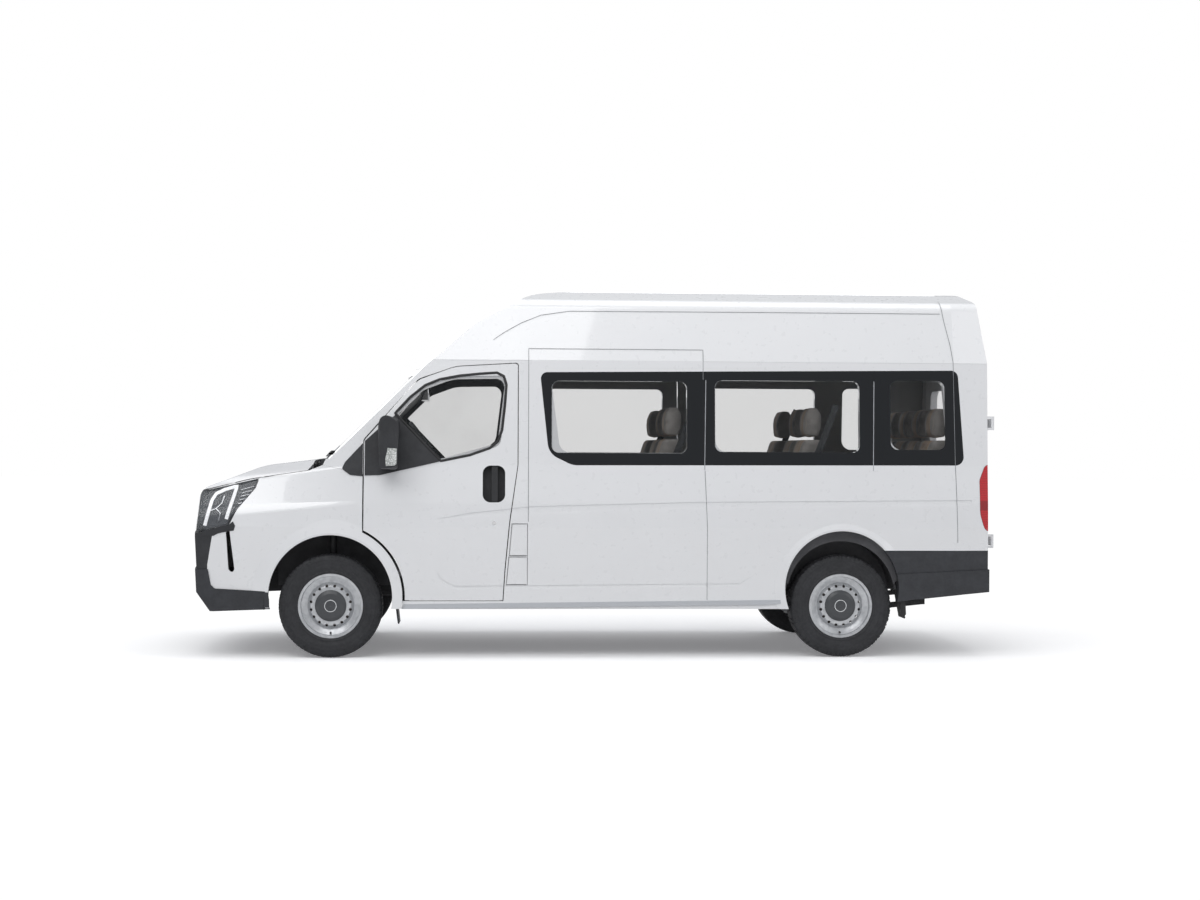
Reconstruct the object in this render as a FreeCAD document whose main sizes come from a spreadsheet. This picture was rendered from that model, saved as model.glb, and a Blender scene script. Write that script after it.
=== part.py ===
"""High-roof minibus: a parametric FreeCAD document, millimetres, +Z up, nose towards -X, left side towards -Y.

The origin lies on the ground under the middle of the vehicle. Every outline is a sketch whose corners are bound to
the sheet; panels are cut from one shell, so neighbours share their edges and stay flush when a size changes.
"""
import FreeCAD, Part
import os
import re
import Sketcher

doc = FreeCAD.newDocument("minibus")
Vec = FreeCAD.Vector

# ----------------------------------------------------------------------------------------------------------
# Driving dimensions: name, value
# ----------------------------------------------------------------------------------------------------------
DIMENSIONS = [
    # overall
    ("wheelbase", 3540), ("front_overhang", 997), ("rear_overhang", 1105), ("roof_z", 2580),
    # body cross-section: heights, then half widths behind the front doors
    ("sill_z", 374), ("bulge_z", 900), ("belt_z", 1070), ("shoulder_z", 1330), ("cant_z", 2060),
    ("crease_drop", 100),
    ("sill_y", 985), ("bulge_y", 995), ("belt_y", 987), ("shoulder_y", 957), ("cant_y", 905),
    ("crease_y", 800),
    ("belt_round", 260), ("shoulder_round", 180), ("crease_round", 90), ("crown_y", 400),
    ("crown_round", 750),
    # walls and gaps
    ("wall", 58), ("glass", 5), ("glass_sink", 1), ("shut_gap", 6), ("seam", 0.6), ("seat_gap", 0.3),
    ("proud_by", 10), ("groove", 4), ("slat_pitch", 44), ("slat_tall", 14),
    # nose, bonnet, windscreen and rear
    ("bow_behind", 555), ("rear_bow", 8000), ("cowl_back", 92), ("cowl_z", 1369),
    ("b_pillar", 1290), ("front_door_x", 222), ("rear_seam", 300), ("rear_corner", 75),
    # windows
    ("band_low", 1330), ("band_high", 1995), ("clear_inset", 78),
    ("skin", 26), ("seam_z", 2055), ("post_y", 790), ("screen_low", 1390), ("screen_top", 2003),
    ("door_arch_radius", 495),
    ("door_arch_gap", 15),
    ("arch_z", 420), ("front_arch_z", 420), ("rear_arch_z", 480), ("flap_gap", 6), ("flap_back", 1352),
    ("pocket", 42), ("mirror_y", 1000), ("lamp_y", 560),
    ("wing_inner_y", 600), ("bumper_front_top", 606), ("bumper_top", 745), ("rear_door_low", 650),
    ("fuel_pin_y", 990.5), ("service_pin_y", 987.5),
    ("hinge_low", 776), ("hinge_high", 1606), ("hinge_tall", 64), ("hinge_radius", 11),
    ("rear_hinge_y", 900),
    ("rear_hinge_out", 22), ("door_hinge_in", 30), ("door_hinge_y", 983), ("door_pin", 2.7),
    ("bonnet_hinge_x", 140),
    ("bonnet_hinge_z", 1345), ("bonnet_hinge_y", 740),
    # floor, inside
    ("floor_z", 560), ("post_inner", 840), ("floor_thick", 40), ("rail_y", 430), ("rail_wide", 70),
    ("rail_tall", 118), ("tow_hole_radius", 6.5),
    ("seat_wide", 430), ("seat_pitch", 480), ("aisle_y", 620), ("column_y", 400), ("steering_radius", 195),
    ("row_one", 2374), ("row_two", 3370), ("row_three", 4275), ("cab_row", 1340),
    # running gear
    ("kingpin_y", 700), ("hub_face", 50), ("stub_radius", 32.5), ("bearing_gap", 0.5), ("disc_radius", 148),
    ("tub_radius", 455), ("tub_thick", 12), ("tub_y", 535),
    ("rear_tub_radius", 385), ("rear_tub_z", 430), ("rear_tub_y", 705), ("cushion_z", 890),
    ("column_x", 636), ("column_z", 1477),
    ("tub_top", 872), ("vent_circle", 137), ("vent_radius", 10), ("axle_tube", 45), ("flare", 18),
    ("tyre_radius", 356), ("tyre_width", 205), ("rim_radius", 205), ("bead_radius", 223), ("half_track", 860),
    ("arch_radius", 425),
    ("rear_arch_radius", 400),
]
# Places that follow from them: name, formula
PLACES = [
    ("nose_x", "-(front_overhang + wheelbase + rear_overhang) / 2"),
    ("front_axle", "nose_x + front_overhang"),
    ("rear_axle", "front_axle + wheelbase"),
    ("tail_x", "rear_axle + rear_overhang"),
    ("bow_axis", "wheelbase + rear_overhang + bow_behind"),
    ("crease_z", "roof_z - crease_drop"),
    ("door_front", "front_axle + front_door_x"),
    ("pillar_x", "front_axle + b_pillar"),
    ("corner_x", "tail_x - rear_seam"),
    ("bow_x", "front_axle + bow_axis"),
    ("flap_hinge_x", "front_axle + flap_back"),
    ("rear_hinge_x", "tail_x - rear_hinge_out"),
]


def make_sheet(name, rows):
    sheet = doc.addObject("Spreadsheet::Sheet", name)
    for row, (alias, value) in enumerate(rows, 1):
        sheet.set("A%d" % row, alias)
        sheet.set("B%d" % row, str(value))
        sheet.setAlias("B%d" % row, alias)
    doc.recompute()
    return sheet


HOME = {alias: "dims" for alias, value in DIMENSIONS}
dims = make_sheet("dims", DIMENSIONS)


def bind(text):
    """A formula in plain names, with each name pointed at its own sheet."""
    return re.sub(r"[a-z][a-z_]+", lambda m: HOME[m.group(0)] + "." + m.group(0) if m.group(0) in HOME
                  else m.group(0), str(text))


for alias, formula in PLACES:
    HOME[alias] = "places"
places = make_sheet("places", [(a, "=" + bind(f).replace("places.", "")) for a, f in PLACES])


def size(text):
    """The present value of a formula, for the few shapes that are made by hand."""
    return float(dims.evalExpression(bind(text)))


# ----------------------------------------------------------------------------------------------------------
# Sketches and solids
# ----------------------------------------------------------------------------------------------------------
PLANES = {
    "side": FreeCAD.Rotation(Vec(1, 0, 0), 90),        # drawn in X and Z, seen from the left
    "front": FreeCAD.Rotation(Vec(1, 1, 1), 120),      # drawn in Y and Z, seen from behind
    "plan": FreeCAD.Rotation(),                        # drawn in X and Y, seen from above
}
AWAY = {"side": ("y", Vec(0, 1, 0)), "front": ("x", Vec(1, 0, 0)), "plan": ("z", Vec(0, 0, 1))}


def outline(name, plane, corners, level="0"):
    """A closed sketch; each corner is (across, up, rounding), all formulas. It stands at `level` off its plane."""
    sketch = doc.addObject("Sketcher::SketchObject", name)
    letter, away = AWAY[plane]
    sketch.Placement = FreeCAD.Placement(away * size(level), PLANES[plane])
    sketch.setExpression("Placement.Base." + letter, bind(level))
    points = [Vec(size(c[0]), size(c[1]), 0) for c in corners]
    count = len(points)
    for i in range(count):
        sketch.addGeometry(Part.LineSegment(points[i], points[(i + 1) % count]), False)
    for i in range(count):
        sketch.addConstraint(Sketcher.Constraint("Coincident", (i - 1) % count, 2, i, 1))
    for i, point in enumerate(points):
        for kind, letter, value in (("DistanceX", "across", point.x), ("DistanceY", "up", point.y)):
            index = sketch.addConstraint(Sketcher.Constraint(kind, -1, 1, i, 1, value))
            sketch.renameConstraint(index, "%s_%d" % (letter, i))
    for i, corner in enumerate(corners):
        if len(corner) > 2:
            sketch.fillet((i - 1) % count, i, points[i - 1], points[(i + 1) % count], size(corner[2]), True,
                True)
            arc = [g for g, shape in enumerate(sketch.Geometry) if isinstance(shape, Part.ArcOfCircle)][-1]
            index = sketch.addConstraint(Sketcher.Constraint("Radius", arc, sketch.Geometry[arc].Radius))
            sketch.renameConstraint(index, "round_%d" % i)
            sketch.setExpression("Constraints.round_%d" % i, bind(corner[2]))
    for i, corner in enumerate(corners):
        sketch.setExpression("Constraints.across_%d" % i, bind(corner[0]))
        sketch.setExpression("Constraints.up_%d" % i, bind(corner[1]))
    return sketch


def prism(name, plane, corners, start, end):
    """The outline pushed straight from level `start` to level `end`."""
    solid = doc.addObject("Part::Extrusion", name)
    solid.Base = outline(name + "_outline", plane, corners, start)
    solid.DirMode = "Custom"
    solid.Dir = AWAY[plane][1]
    solid.setExpression("LengthFwd", bind("(%s) - (%s)" % (end, start)))
    solid.Solid = True
    return solid


def block(name, x, y, z):
    """A box between pairs of formulas along X, Y and Z."""
    solid = doc.addObject("Part::Box", name)
    for prop, letter, (low, high) in (("Length", "x", x), ("Width", "y", y), ("Height", "z", z)):
        solid.setExpression(prop, bind("(%s) - (%s)" % (high, low)))
        solid.setExpression("Placement.Base." + letter, bind(low))
    return solid


TURNS = {"x": FreeCAD.Rotation(Vec(0, 1, 0), 90), "y": FreeCAD.Rotation(Vec(1, 0, 0), -90),
    "z": FreeCAD.Rotation()}


def rod(name, axis, radius, place, length):
    """A cylinder that starts at `place` (three formulas) and runs along `axis`."""
    solid = doc.addObject("Part::Cylinder", name)
    solid.Placement.Rotation = TURNS[axis]
    solid.setExpression("Radius", bind(radius))
    solid.setExpression("Height", bind(length))
    for letter, formula in zip("xyz", place):
        solid.setExpression("Placement.Base." + letter, bind(formula))
    return solid


def spun(name, corners, place, axis="z", angle="360", turned=0):
    """The outline (radius, along, rounding) spun about its own vertical, then laid along `axis` at `place`."""
    solid = doc.addObject("Part::Revolution", name)
    solid.Source = outline(name + "_outline", "side", corners)
    solid.Axis = Vec(0, 0, 1)
    solid.setExpression("Angle", angle)
    solid.Symmetric = angle != "360"
    solid.Solid = True
    turn = {"z": FreeCAD.Rotation(Vec(0, 0, 1), turned), "y": FreeCAD.Rotation(Vec(1, 0, 0), -90),
            "-y": FreeCAD.Rotation(Vec(1, 0, 0), 90), "x": FreeCAD.Rotation(Vec(0, 1, 0), 90)}[axis]
    solid.Placement.Rotation = turn
    for letter, formula in zip("xyz", place):
        solid.setExpression("Placement.Base." + letter, bind(formula))
    return solid


def fuse(name, *solids):
    joined = doc.addObject("Part::MultiFuse", name)
    joined.Shapes = list(solids)
    joined.Refine = True
    return joined


def common(name, *solids):
    shared = doc.addObject("Part::MultiCommon", name)
    shared.Shapes = list(solids)
    return shared


def cut(name, base, *tools):
    """The base without its tools."""
    for number, tool in enumerate(tools):
        last = number == len(tools) - 1
        piece = doc.addObject("Part::Cut", name if last else "%s_step%d" % (name, number))
        piece.Base = base
        piece.Tool = tool
        base = piece
    return base


def mirrored(name, solid):
    """The same piece on the right-hand side."""
    twin = doc.addObject("Part::Mirroring", name)
    twin.Source = solid
    twin.Normal = Vec(0, 1, 0)
    return twin


def both(name, solid):
    """A piece and its twin on the other side."""
    return fuse(name, solid, mirrored(name + "_twin", solid))


# ----------------------------------------------------------------------------------------------------------
# The outer form: ruled sections from nose to tail, met by a bowed front and a bowed rear
# ----------------------------------------------------------------------------------------------------------
# station along X | half width at sill, bulge, belt, shoulder, cant, crease | belt and shoulder height
STATIONS = [
    ("nose_x - 10", "sill_y - 90", "bulge_y - 85", "belt_y - 100", "shoulder_y - 215", "cant_y - 200",
     "crease_y - 130", "belt_z - 75", "shoulder_z - 145"),
    ("door_front", "sill_y", "bulge_y", "belt_y", "shoulder_y - 5", "cant_y - 55", "crease_y - 40",
     "belt_z", "shoulder_z"),
    ("pillar_x", "sill_y", "bulge_y", "belt_y", "shoulder_y", "cant_y", "crease_y", "belt_z", "shoulder_z"),
    ("corner_x", "sill_y", "bulge_y", "belt_y", "shoulder_y", "cant_y", "crease_y", "belt_z", "shoulder_z"),
    ("tail_x + 20", "sill_y - 25", "bulge_y - 25", "belt_y - 25", "shoulder_y - 25", "cant_y - 25",
    "crease_y - 25",
     "belt_z", "shoulder_z"),
]


def section(name, row, inset):
    """One cross-section of the body, `inset` inside the paint."""
    station, sill, bulge, belt, shoulder, cant, crease, belt_height, shoulder_height = row
    right = [
        (sill, "sill_z - 60 + " + inset), (bulge, "bulge_z"), (belt, belt_height, "belt_round"),
        (shoulder, shoulder_height, "shoulder_round"), (cant, "cant_z"),
        (crease, "crease_z - (%s) * 0.6" % inset, "crease_round"),
        ("crown_y", "roof_z - " + inset, "crown_round")]
    right = [("%s - %s" % (c[0], "0" if c[0] == "crown_y" else inset),) + c[1:] for c in right]
    left = [("-(%s)" % c[0],) + c[1:] for c in reversed(right)]
    return outline(name, "front", right + left, station)


def form(name, inset):
    """The whole vehicle's outer form as a solid, `inset` inside the paint all over."""
    inset = "(%s)" % inset
    loft = doc.addObject("Part::Loft", name + "_loft")
    loft.Sections = [section("%s_section%d" % (name, i), row, inset) for i, row in enumerate(STATIONS)]
    loft.Ruled = True
    loft.Solid = True
    # profile in the middle of the vehicle, as distance from the bow's axis
    front = [("0", "sill_z - 60"), ("bow_axis + 880", "sill_z - 60"), ("bow_axis + 975", "450"),
             ("bow_axis + front_overhang", "850", "400"), ("bow_axis + 960", "1150", "90"),
             ("bow_axis + 520", "1316", "500"), ("bow_axis + cowl_back", "cowl_z"),
             ("bow_axis - 560", "2018", "600"),
             ("bow_axis - 900", "roof_z - 262", "700"), ("bow_axis - 1330", "roof_z - 35", "700"),
             ("bow_axis - 1700", "roof_z"),
             ("0", "roof_z")]
    front = [("%s - %s" % (c[0], inset) if c[0] != "0" else "0",
              "(%s) - (%s)" % (c[1], inset) if i > 3 else c[1]) + c[2:] for i, c in enumerate(front)]
    nose = spun(name + "_front", [("-(%s)" % c[0],) + c[1:] for c in front], ("bow_x", "0", "0"), "z",
        "180")
    tail = [("0", "sill_z - 60"), ("rear_bow - proud_by", "sill_z - 60"), ("rear_bow - proud_by", "cant_z"),
            ("rear_bow - 80", "crease_z + 20", "70"), ("rear_bow - 160", "roof_z", "60"), ("0", "roof_z")]
    tail = [("%s - %s" % (c[0], inset) if c[0] != "0" else "0",
             "(%s) - (%s)" % (c[1], inset) if i > 3 else c[1]) + c[2:] for i, c in enumerate(tail)]
    rear = spun(name + "_rear", tail, ("tail_x - rear_bow", "0", "0"), "z", "180")
    return common(name, loft, nose, rear)


# ----------------------------------------------------------------------------------------------------------
# Shells: one form inside another
# ----------------------------------------------------------------------------------------------------------
outer = form("outer", "0")
inner = form("inner", "wall")
skin_inner = form("skin_inner", "skin")
pocket_floor = form("pocket_floor", "pocket")
glass_outer = form("glass_outer", "glass_sink")
glass_inner = form("glass_inner", "glass_sink + glass")
rebate_inner = form("rebate_inner", "glass_sink + glass + seat_gap")
proud = form("proud", "-proud_by")
groove_floor = form("groove_floor", "groove")
LAYERS = {  # layer: outer face, inner face
    "wall": (outer, inner), "skin": (outer, skin_inner), "glass": (glass_outer, glass_inner),
    "rebate": (outer, rebate_inner), "pocket": (outer, pocket_floor), "lid": (outer, glass_inner),
    "bumper": (proud, inner), "strip": (proud, outer),
    "groove": (outer, groove_floor), "slat": (rebate_inner, pocket_floor),
    "cavity": (glass_inner, pocket_floor),
    "lens_ring": (skin_inner, inner),
    "grip": (glass_inner, skin_inner), "lamp": (glass_outer, inner),
}


def layer(name, kind, *regions):
    """The part of one layer of the body that lies within all the regions."""
    top, bottom = LAYERS[kind]
    return cut(name, common(name + "_solid", top, *regions), bottom)


LEFT = ("-1300", "-500")
WIDE = ("-1300", "1300")


def grow(corners, centre, by):
    """The same corners pushed away from (or towards) a middle point by a formula on each axis."""
    across, up = size(centre[0]), size(centre[1])
    moved = []
    for corner in corners:
        step = ["+" if size(c) > m else "-" for c, m in zip(corner[:2], (across, up))]
        moved.append(tuple("(%s) %s (%s)" % (c, sign, by) for c,
            sign in zip(corner[:2], step)) + tuple(corner[2:]))
    return moved


# ----------------------------------------------------------------------------------------------------------
# Outlines on the side of the body: along X, up, rounding
# ----------------------------------------------------------------------------------------------------------
DOOR = [("door_front", "sill_z + 22"), ("pillar_x - 107", "sill_z + 22"), ("pillar_x - 94", "607"),
        ("pillar_x - 64", "931"), ("pillar_x - 7", "1330", "200"), ("pillar_x - 7", "seam_z - 18", "20"),
        ("front_axle + 850", "seam_z - 43", "300"), ("front_axle + 592", "1920", "120"),
        ("door_front", "1500", "40")]
DOOR_MIDDLE = ("front_axle + 750", "1200")
DOOR_GLASS = [("front_axle + 430", "1285", "40"), ("front_axle + 752", "1356", "300"),
              ("front_axle + 1162", "1460", "70"), ("front_axle + 1215", "1950", "60"),
              ("front_axle + 850", "1944", "300"), ("front_axle + 612", "1870", "120"),
              ("front_axle + 430", "1690", "60")]
DOOR_GLASS_MIDDLE = ("front_axle + 800", "1600")
BAND = [("front_axle + 1660", "band_low", "150"), ("tail_x - 235", "band_low + 10", "60"),
        ("tail_x - 275", "band_high + 12", "50"), ("front_axle + 1434", "band_high - 20", "45"),
        ("front_axle + 1495", "band_low + 80", "120")]
# clear openings: front low, front high, rear low, rear high, bottom, top
WINDOWS = [
    ("front_axle + 1575", "front_axle + 1512", "front_axle + 2457", "front_axle + 2457", "1418", "1916"),
    ("front_axle + 2655", "front_axle + 2655", "front_axle + 3670", "front_axle + 3670", "1427", "1926"),
    ("front_axle + 3890", "front_axle + 3890", "tail_x - 345", "tail_x - 383", "1446", "1932"),
]
DIVIDERS = ["front_axle + 2586", "front_axle + 3769"]


def window_opening(name, row, clearance="0"):
    low_front, high_front, low_rear, high_rear, bottom, top = row
    return prism(name, "side", [("%s + %s" % (low_front, clearance), bottom, "80"),
        (low_rear, bottom, "50"),
                                (high_rear, top, "50"), (high_front, top, "50")], *LEFT)


# pressed feature lines: a light band under the belt and a shallow channel above the sill
BELT_BAND = [("front_axle + 728", "958"), ("front_axle + 954", "1000"),
    ("front_axle + 1370", "1046", "900"),
             ("front_axle + 2544", "1080", "4000"), ("tail_x - 188", "1098"), ("tail_x - 188", "1060"),
             ("front_axle + 2544", "1034", "4000"), ("front_axle + 1370", "994", "900"),
             ("front_axle + 954", "972")]
SILL_BAND = [("front_axle + 729", "593"), ("front_axle + 771", "538", "60"),
    ("front_axle + 853", "497", "80"),
             ("front_axle + 2826", "516"), ("front_axle + 2925", "575"), ("front_axle + 2800", "498", "60"),
             ("front_axle + 853", "474", "60"), ("front_axle + 757", "530", "60")]
belt_press = prism("belt_press", "side", BELT_BAND, *LEFT)
sill_press = prism("sill_press", "side", SILL_BAND, *LEFT)
pressings = layer("pressings", "groove", fuse("press_lines", belt_press, sill_press))


# ----------------------------------------------------------------------------------------------------------
# Body side: shell outside the doors, with its windows, rebate and wheel arches
# ----------------------------------------------------------------------------------------------------------
def side_region(name):
    return common(name, prism(name + "_face", "side", [
        ("front_axle - 60", "1325"), ("door_front - seam", "1262"), ("door_front - seam", "sill_z - 36"),
        ("tail_x + 60", "sill_z - 36"), ("tail_x + 60", "seam_z"), ("front_axle + 2574", "seam_z"),
        ("front_axle + 2574", "seam_z + 85"), ("front_axle + 1355", "seam_z + 85"),
        ("front_axle + 1355", "seam_z"),
        ("front_axle + 300", "seam_z")], "-1300", "-post_y"))


door_hole = cut("door_hole", prism("door_hole_face", "side", grow(DOOR, DOOR_MIDDLE, "shut_gap / 2"),
    *LEFT),
                rod("door_arch", "y", "door_arch_radius - shut_gap / 2", ("front_axle", "-1400", "arch_z"),
                "900"))
door_shape = cut("door_shape", prism("door_face", "side", grow(DOOR, DOOR_MIDDLE, "-shut_gap / 2"), *LEFT),
                 rod("door_arch_edge", "y", "door_arch_radius + door_arch_gap",
                 ("front_axle", "-1400", "arch_z"), "900"))
rear_arch = rod("rear_arch", "y", "rear_arch_radius", ("rear_axle", "-1400", "rear_arch_z"), "800")
band = prism("band", "side", BAND, *LEFT)
window_cuts = fuse("window_cuts", *[window_opening("window_cut%d" % i, row) for i,
    row in enumerate(WINDOWS)])
FLAPS = [  # low and high end, then the front edge at each
    ("fuel_flap", "704", "928", "front_axle + 1222", "front_axle + 1240"),
    ("service_flap", "503", "700", "front_axle + 1202", "front_axle + 1220"),
]


def hinge_lugs(name):
    """Body side of the same hinges: lugs above and below each barrel, standing on the rear post."""
    pieces = []
    for i, height in enumerate(("hinge_low", "hinge_high")):
        for j, low in enumerate(("%s - 16" % height, "%s + hinge_tall + bearing_gap" % height)):
            high = "%s + 16 - bearing_gap" % low
            pieces.append(rod("%s_lug%d%d" % (name, i, j), "z", "hinge_radius",
                ("rear_hinge_x", "-rear_hinge_y", low),
                              "16 - bearing_gap"))
            pieces.append(block("%s_foot%d%d" % (name, i, j), ("rear_hinge_x - 70", "rear_hinge_x"),
                                ("-rear_hinge_y - 9", "-rear_hinge_y + 9"), (low, high)))
    return fuse(name, *pieces)


def flap_prism(name, row, gap):
    label, low, high, front_low, front_high = row
    return prism(name, "side", [
        ("%s - %s" % (front_low, gap), "%s - %s" % (low, gap)),
        ("flap_hinge_x + %s" % gap, "%s - %s" % (low, gap)),
        ("flap_hinge_x + %s" % gap, "%s + %s" % (high, gap)),
        ("%s - %s" % (front_high, gap), "%s + %s" % (high, gap))],
        *LEFT)


flap_wells = fuse("flap_wells", *[flap_prism(row[0] + "_well", row, "0") for row in FLAPS])
flap_recess = layer("flap_recess", "skin", flap_wells)
tail_lamp_outline = [("tail_x - 92", "880", "60"), ("tail_x + 30", "860"), ("tail_x + 30", "1372"),
                     ("tail_x - 85", "1345", "60"), ("tail_x - 128", "1240", "60"),
                     ("tail_x - 128", "1000", "200")]
lamp_hole = prism("lamp_hole", "side", tail_lamp_outline, "-1300", "-post_y - 25")
lamp_pocket = layer("lamp_pocket", "pocket", lamp_hole)
quarter_low = block("quarter_low", ("rear_axle + 300 - seam", "tail_x + 50"), ("-1300", "-500"),
    ("300", "bumper_top"))
band_rebate = layer("band_rebate", "rebate", band)
side_cutout = cut("side_cutout", side_region("side_zone"), door_hole, rear_arch, window_cuts, quarter_low,
                  rod("side_arch", "y", "door_arch_radius", ("front_axle", "-1400", "arch_z"), "900"))
side_panel = layer("side_panel", "wall", side_cutout)
rear_lugs = hinge_lugs("rear_lugs")
REAR_FLARE = [("rear_arch_radius - 8", "-80"), ("rear_arch_radius - 8", "9"),
    ("rear_arch_radius + 12", "12", "5"),
              ("rear_arch_radius + 72", "-2"), ("rear_arch_radius + 72", "-80")]
rear_flare = cut("rear_flare", common("rear_flare_zone", side_cutout, spun(
    "rear_flare_ring", REAR_FLARE, ("rear_axle", "-bulge_y + 4", "rear_arch_z"), "-y")), inner)
left_side = fuse("left_side", cut("left_panel", side_panel, band_rebate, flap_recess, lamp_pocket,
    pressings),
                 rear_lugs, rear_flare)

def handle(name, front):
    """A rounded pocket in the skin and the upright grip across it."""
    hollow = layer(name + "_pocket", "pocket", prism(name + "_mouth", "side", [
        (front, "1075", "50"), (front + " + 151", "1075", "50"), (front + " + 151", "1323", "50"),
        (front, "1323", "50")], *LEFT))
    grip = layer(name + "_grip", "grip", prism(name + "_bar", "side", [
        (front + " + 60", "1072", "10"), (front + " + 102", "1072", "10"), (front + " + 102", "1326", "10"),
        (front + " + 60", "1326", "10")], *LEFT))
    return hollow, grip


# the sliding door stands in the right-hand side; it has its own window and runs on three rails
SLIDER = [("front_axle + 1355", "sill_z + 30", "20"), ("front_axle + 2592", "sill_z + 30", "20"),
          ("front_axle + 2574", "seam_z + 79", "15"), ("front_axle + 1355", "seam_z + 79", "15")]
SLIDER_TOP = [("front_axle + 2574", "seam_z + 95"), ("front_axle + 1355", "seam_z + 95")]
SLIDER_MIDDLE = ("front_axle + 1965", "1200")
right_cutout = cut("right_cutout", side_cutout, prism("slider_hole", "side", SLIDER[:2] + SLIDER_TOP,
    *LEFT))
right_panel = cut("right_panel", layer("right_blank", "wall", right_cutout), band_rebate, lamp_pocket,
    pressings)
right_side = mirrored("right_side", fuse("right_body", right_panel, rear_lugs, rear_flare))
slider_face = prism("slider_face", "side", grow(SLIDER, SLIDER_MIDDLE, "-shut_gap"), *LEFT)
slider_cutout = cut("slider_cutout", slider_face, window_cuts)
slider_pocket, slider_grip = handle("slider_handle", "front_axle + 1410")
sliding_door = mirrored("sliding_door", fuse("slider_body", cut(
    "slider_left", layer("slider_blank", "wall", slider_cutout), band_rebate, slider_pocket, pressings),
    slider_grip))

# window panes: bonded from outside, each over its clear opening
def pane(name, front, rear, taller="0"):
    return layer(name, "glass", prism(name + "_band", "side",
        grow(BAND, ("front_axle + 2800", "1650"), "-seam"),
                                           *LEFT), block(name + "_span", (front, rear), ("-1300", "-500"),
                                                         ("1200", "2200")))


EDGES = ["front_axle + 1300"] + DIVIDERS + ["tail_x + 60"]
panes = [pane("pane%d" % i, EDGES[i] + " + seam / 2", EDGES[i + 1] + " - seam / 2") for i in range(3)]
side_glass = fuse("side_glass", *(panes + [mirrored("right_pane%d" % i, panes[i]) for i in (1, 2)]))
slider_pane = common("slider_pane", panes[0], prism("slider_pane_face", "side",
                                                    grow(SLIDER, SLIDER_MIDDLE, "-shut_gap - seam"), *LEFT))
sliding_door_glass = mirrored("sliding_door_glass", slider_pane)

# ----------------------------------------------------------------------------------------------------------
# Front doors
# ----------------------------------------------------------------------------------------------------------
door_blank = layer("door_blank", "wall", door_shape)
door_glass_cut = prism("door_glass_cut", "side", grow(DOOR_GLASS, DOOR_GLASS_MIDDLE, "-20"), *LEFT)
door_rebate = layer("door_rebate", "rebate", prism("door_rebate_face", "side", DOOR_GLASS, *LEFT))

handle_pocket, handle_grip = handle("door_handle", "pillar_x - 248")
HINGE_LINE = "door_front + door_hinge_in"
DOOR_HINGES = ["892", "1012"]                      # low edge of each hinge pocket, 50 tall
pin_pockets = [block("pin_pocket%d" % i, ("door_front - 10", HINGE_LINE + " + 42"),
                     ("-door_hinge_y - door_pin - bearing_gap", "-900"), (low, low + " + 50"))
               for i, low in enumerate(DOOR_HINGES)]
door_pins = [rod("door_pin%d" % i, "z", "door_pin", (HINGE_LINE, "-door_hinge_y", low + " - 1"), "52")
             for i, low in enumerate(DOOR_HINGES)]
left_front_door = fuse("left_front_door", cut("door_panel", door_blank, door_glass_cut, door_rebate,
    handle_pocket,
                                              pressings, *pin_pockets), *door_pins,
                       handle_grip)
left_door_glass = layer("left_door_glass", "glass",
                         prism("door_glass_face", "side", grow(DOOR_GLASS, DOOR_GLASS_MIDDLE, "-1"), *LEFT))
MIRROR_SIDE = [("front_axle + 336", "1300", "30"), ("front_axle + 462", "1294", "30"),
    ("front_axle + 474", "1640", "36"),
               ("front_axle + 352", "1677", "50"), ("front_axle + 326", "1600", "60")]
MIRROR_FRONT = [("-mirror_y - 186", "1310", "40"), ("-mirror_y", "1294", "16"), ("-mirror_y", "1672", "20"),
                ("-mirror_y - 180", "1665", "60")]
MIRROR_PLAN = [("front_axle + 330", "-mirror_y - 120", "60"), ("front_axle + 474", "-mirror_y - 190", "20"),
               ("front_axle + 474", "-mirror_y + 2"), ("front_axle + 320", "-mirror_y + 2", "40")]
mirror_head = common("mirror_head", prism("mirror_side", "side", MIRROR_SIDE, "-mirror_y - 200",
    "-mirror_y"),
                     prism("mirror_front", "front", MIRROR_FRONT, "front_axle + 300", "front_axle + 500"),
                     prism("mirror_plan", "plan", MIRROR_PLAN, "1280", "1690"))
mirror_face = prism("mirror_face", "front", grow(MIRROR_FRONT, ("-mirror_y - 90", "1480"), "-14"),
    "front_axle + 455",
                    "front_axle + 490")
mirror_arm = cut("mirror_arm", block("mirror_bar", ("front_axle + 345", "front_axle + 415"),
                                     ("-mirror_y - 20", "-shoulder_y + 60"), ("1330", "1400")), outer)
left_mirror = fuse("left_mirror", cut("mirror_cup", mirror_head, mirror_face), mirror_arm)

# ----------------------------------------------------------------------------------------------------------
# Roof, windscreen and cowl
# ----------------------------------------------------------------------------------------------------------
roof_zone = cut("roof_zone", fuse("roof_rough", prism("roof_high", "side", [
    ("front_axle + 300", "seam_z + seam"), ("front_axle + 1355 - seam", "seam_z + seam"),
    ("front_axle + 1355 - seam", "seam_z + 85 + seam"), ("front_axle + 2574 + seam", "seam_z + 85 + seam"),
    ("front_axle + 2574 + seam", "seam_z + seam"), ("tail_x + 60", "seam_z + seam"),
    ("tail_x + 60", "roof_z + 20"),
    ("front_axle + 300", "roof_z + 20")], *WIDE),
    block("roof_brow", ("front_axle + 300", "front_axle + 900"),
                                                        ("-post_y + seam", "post_y - seam"),
                                                        ("screen_top + seam", "2100"))))
high_roof = layer("high_roof", "wall", roof_zone)
SCREEN = [("-post_y + seam", "screen_low"), ("post_y - seam", "screen_low"),
    ("post_y - seam", "screen_top"),
          ("-post_y + seam", "screen_top")]
windscreen = layer("windscreen", "glass", prism("screen_face", "front", SCREEN, "nose_x - 60",
    "front_axle + 1000"))
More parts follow.
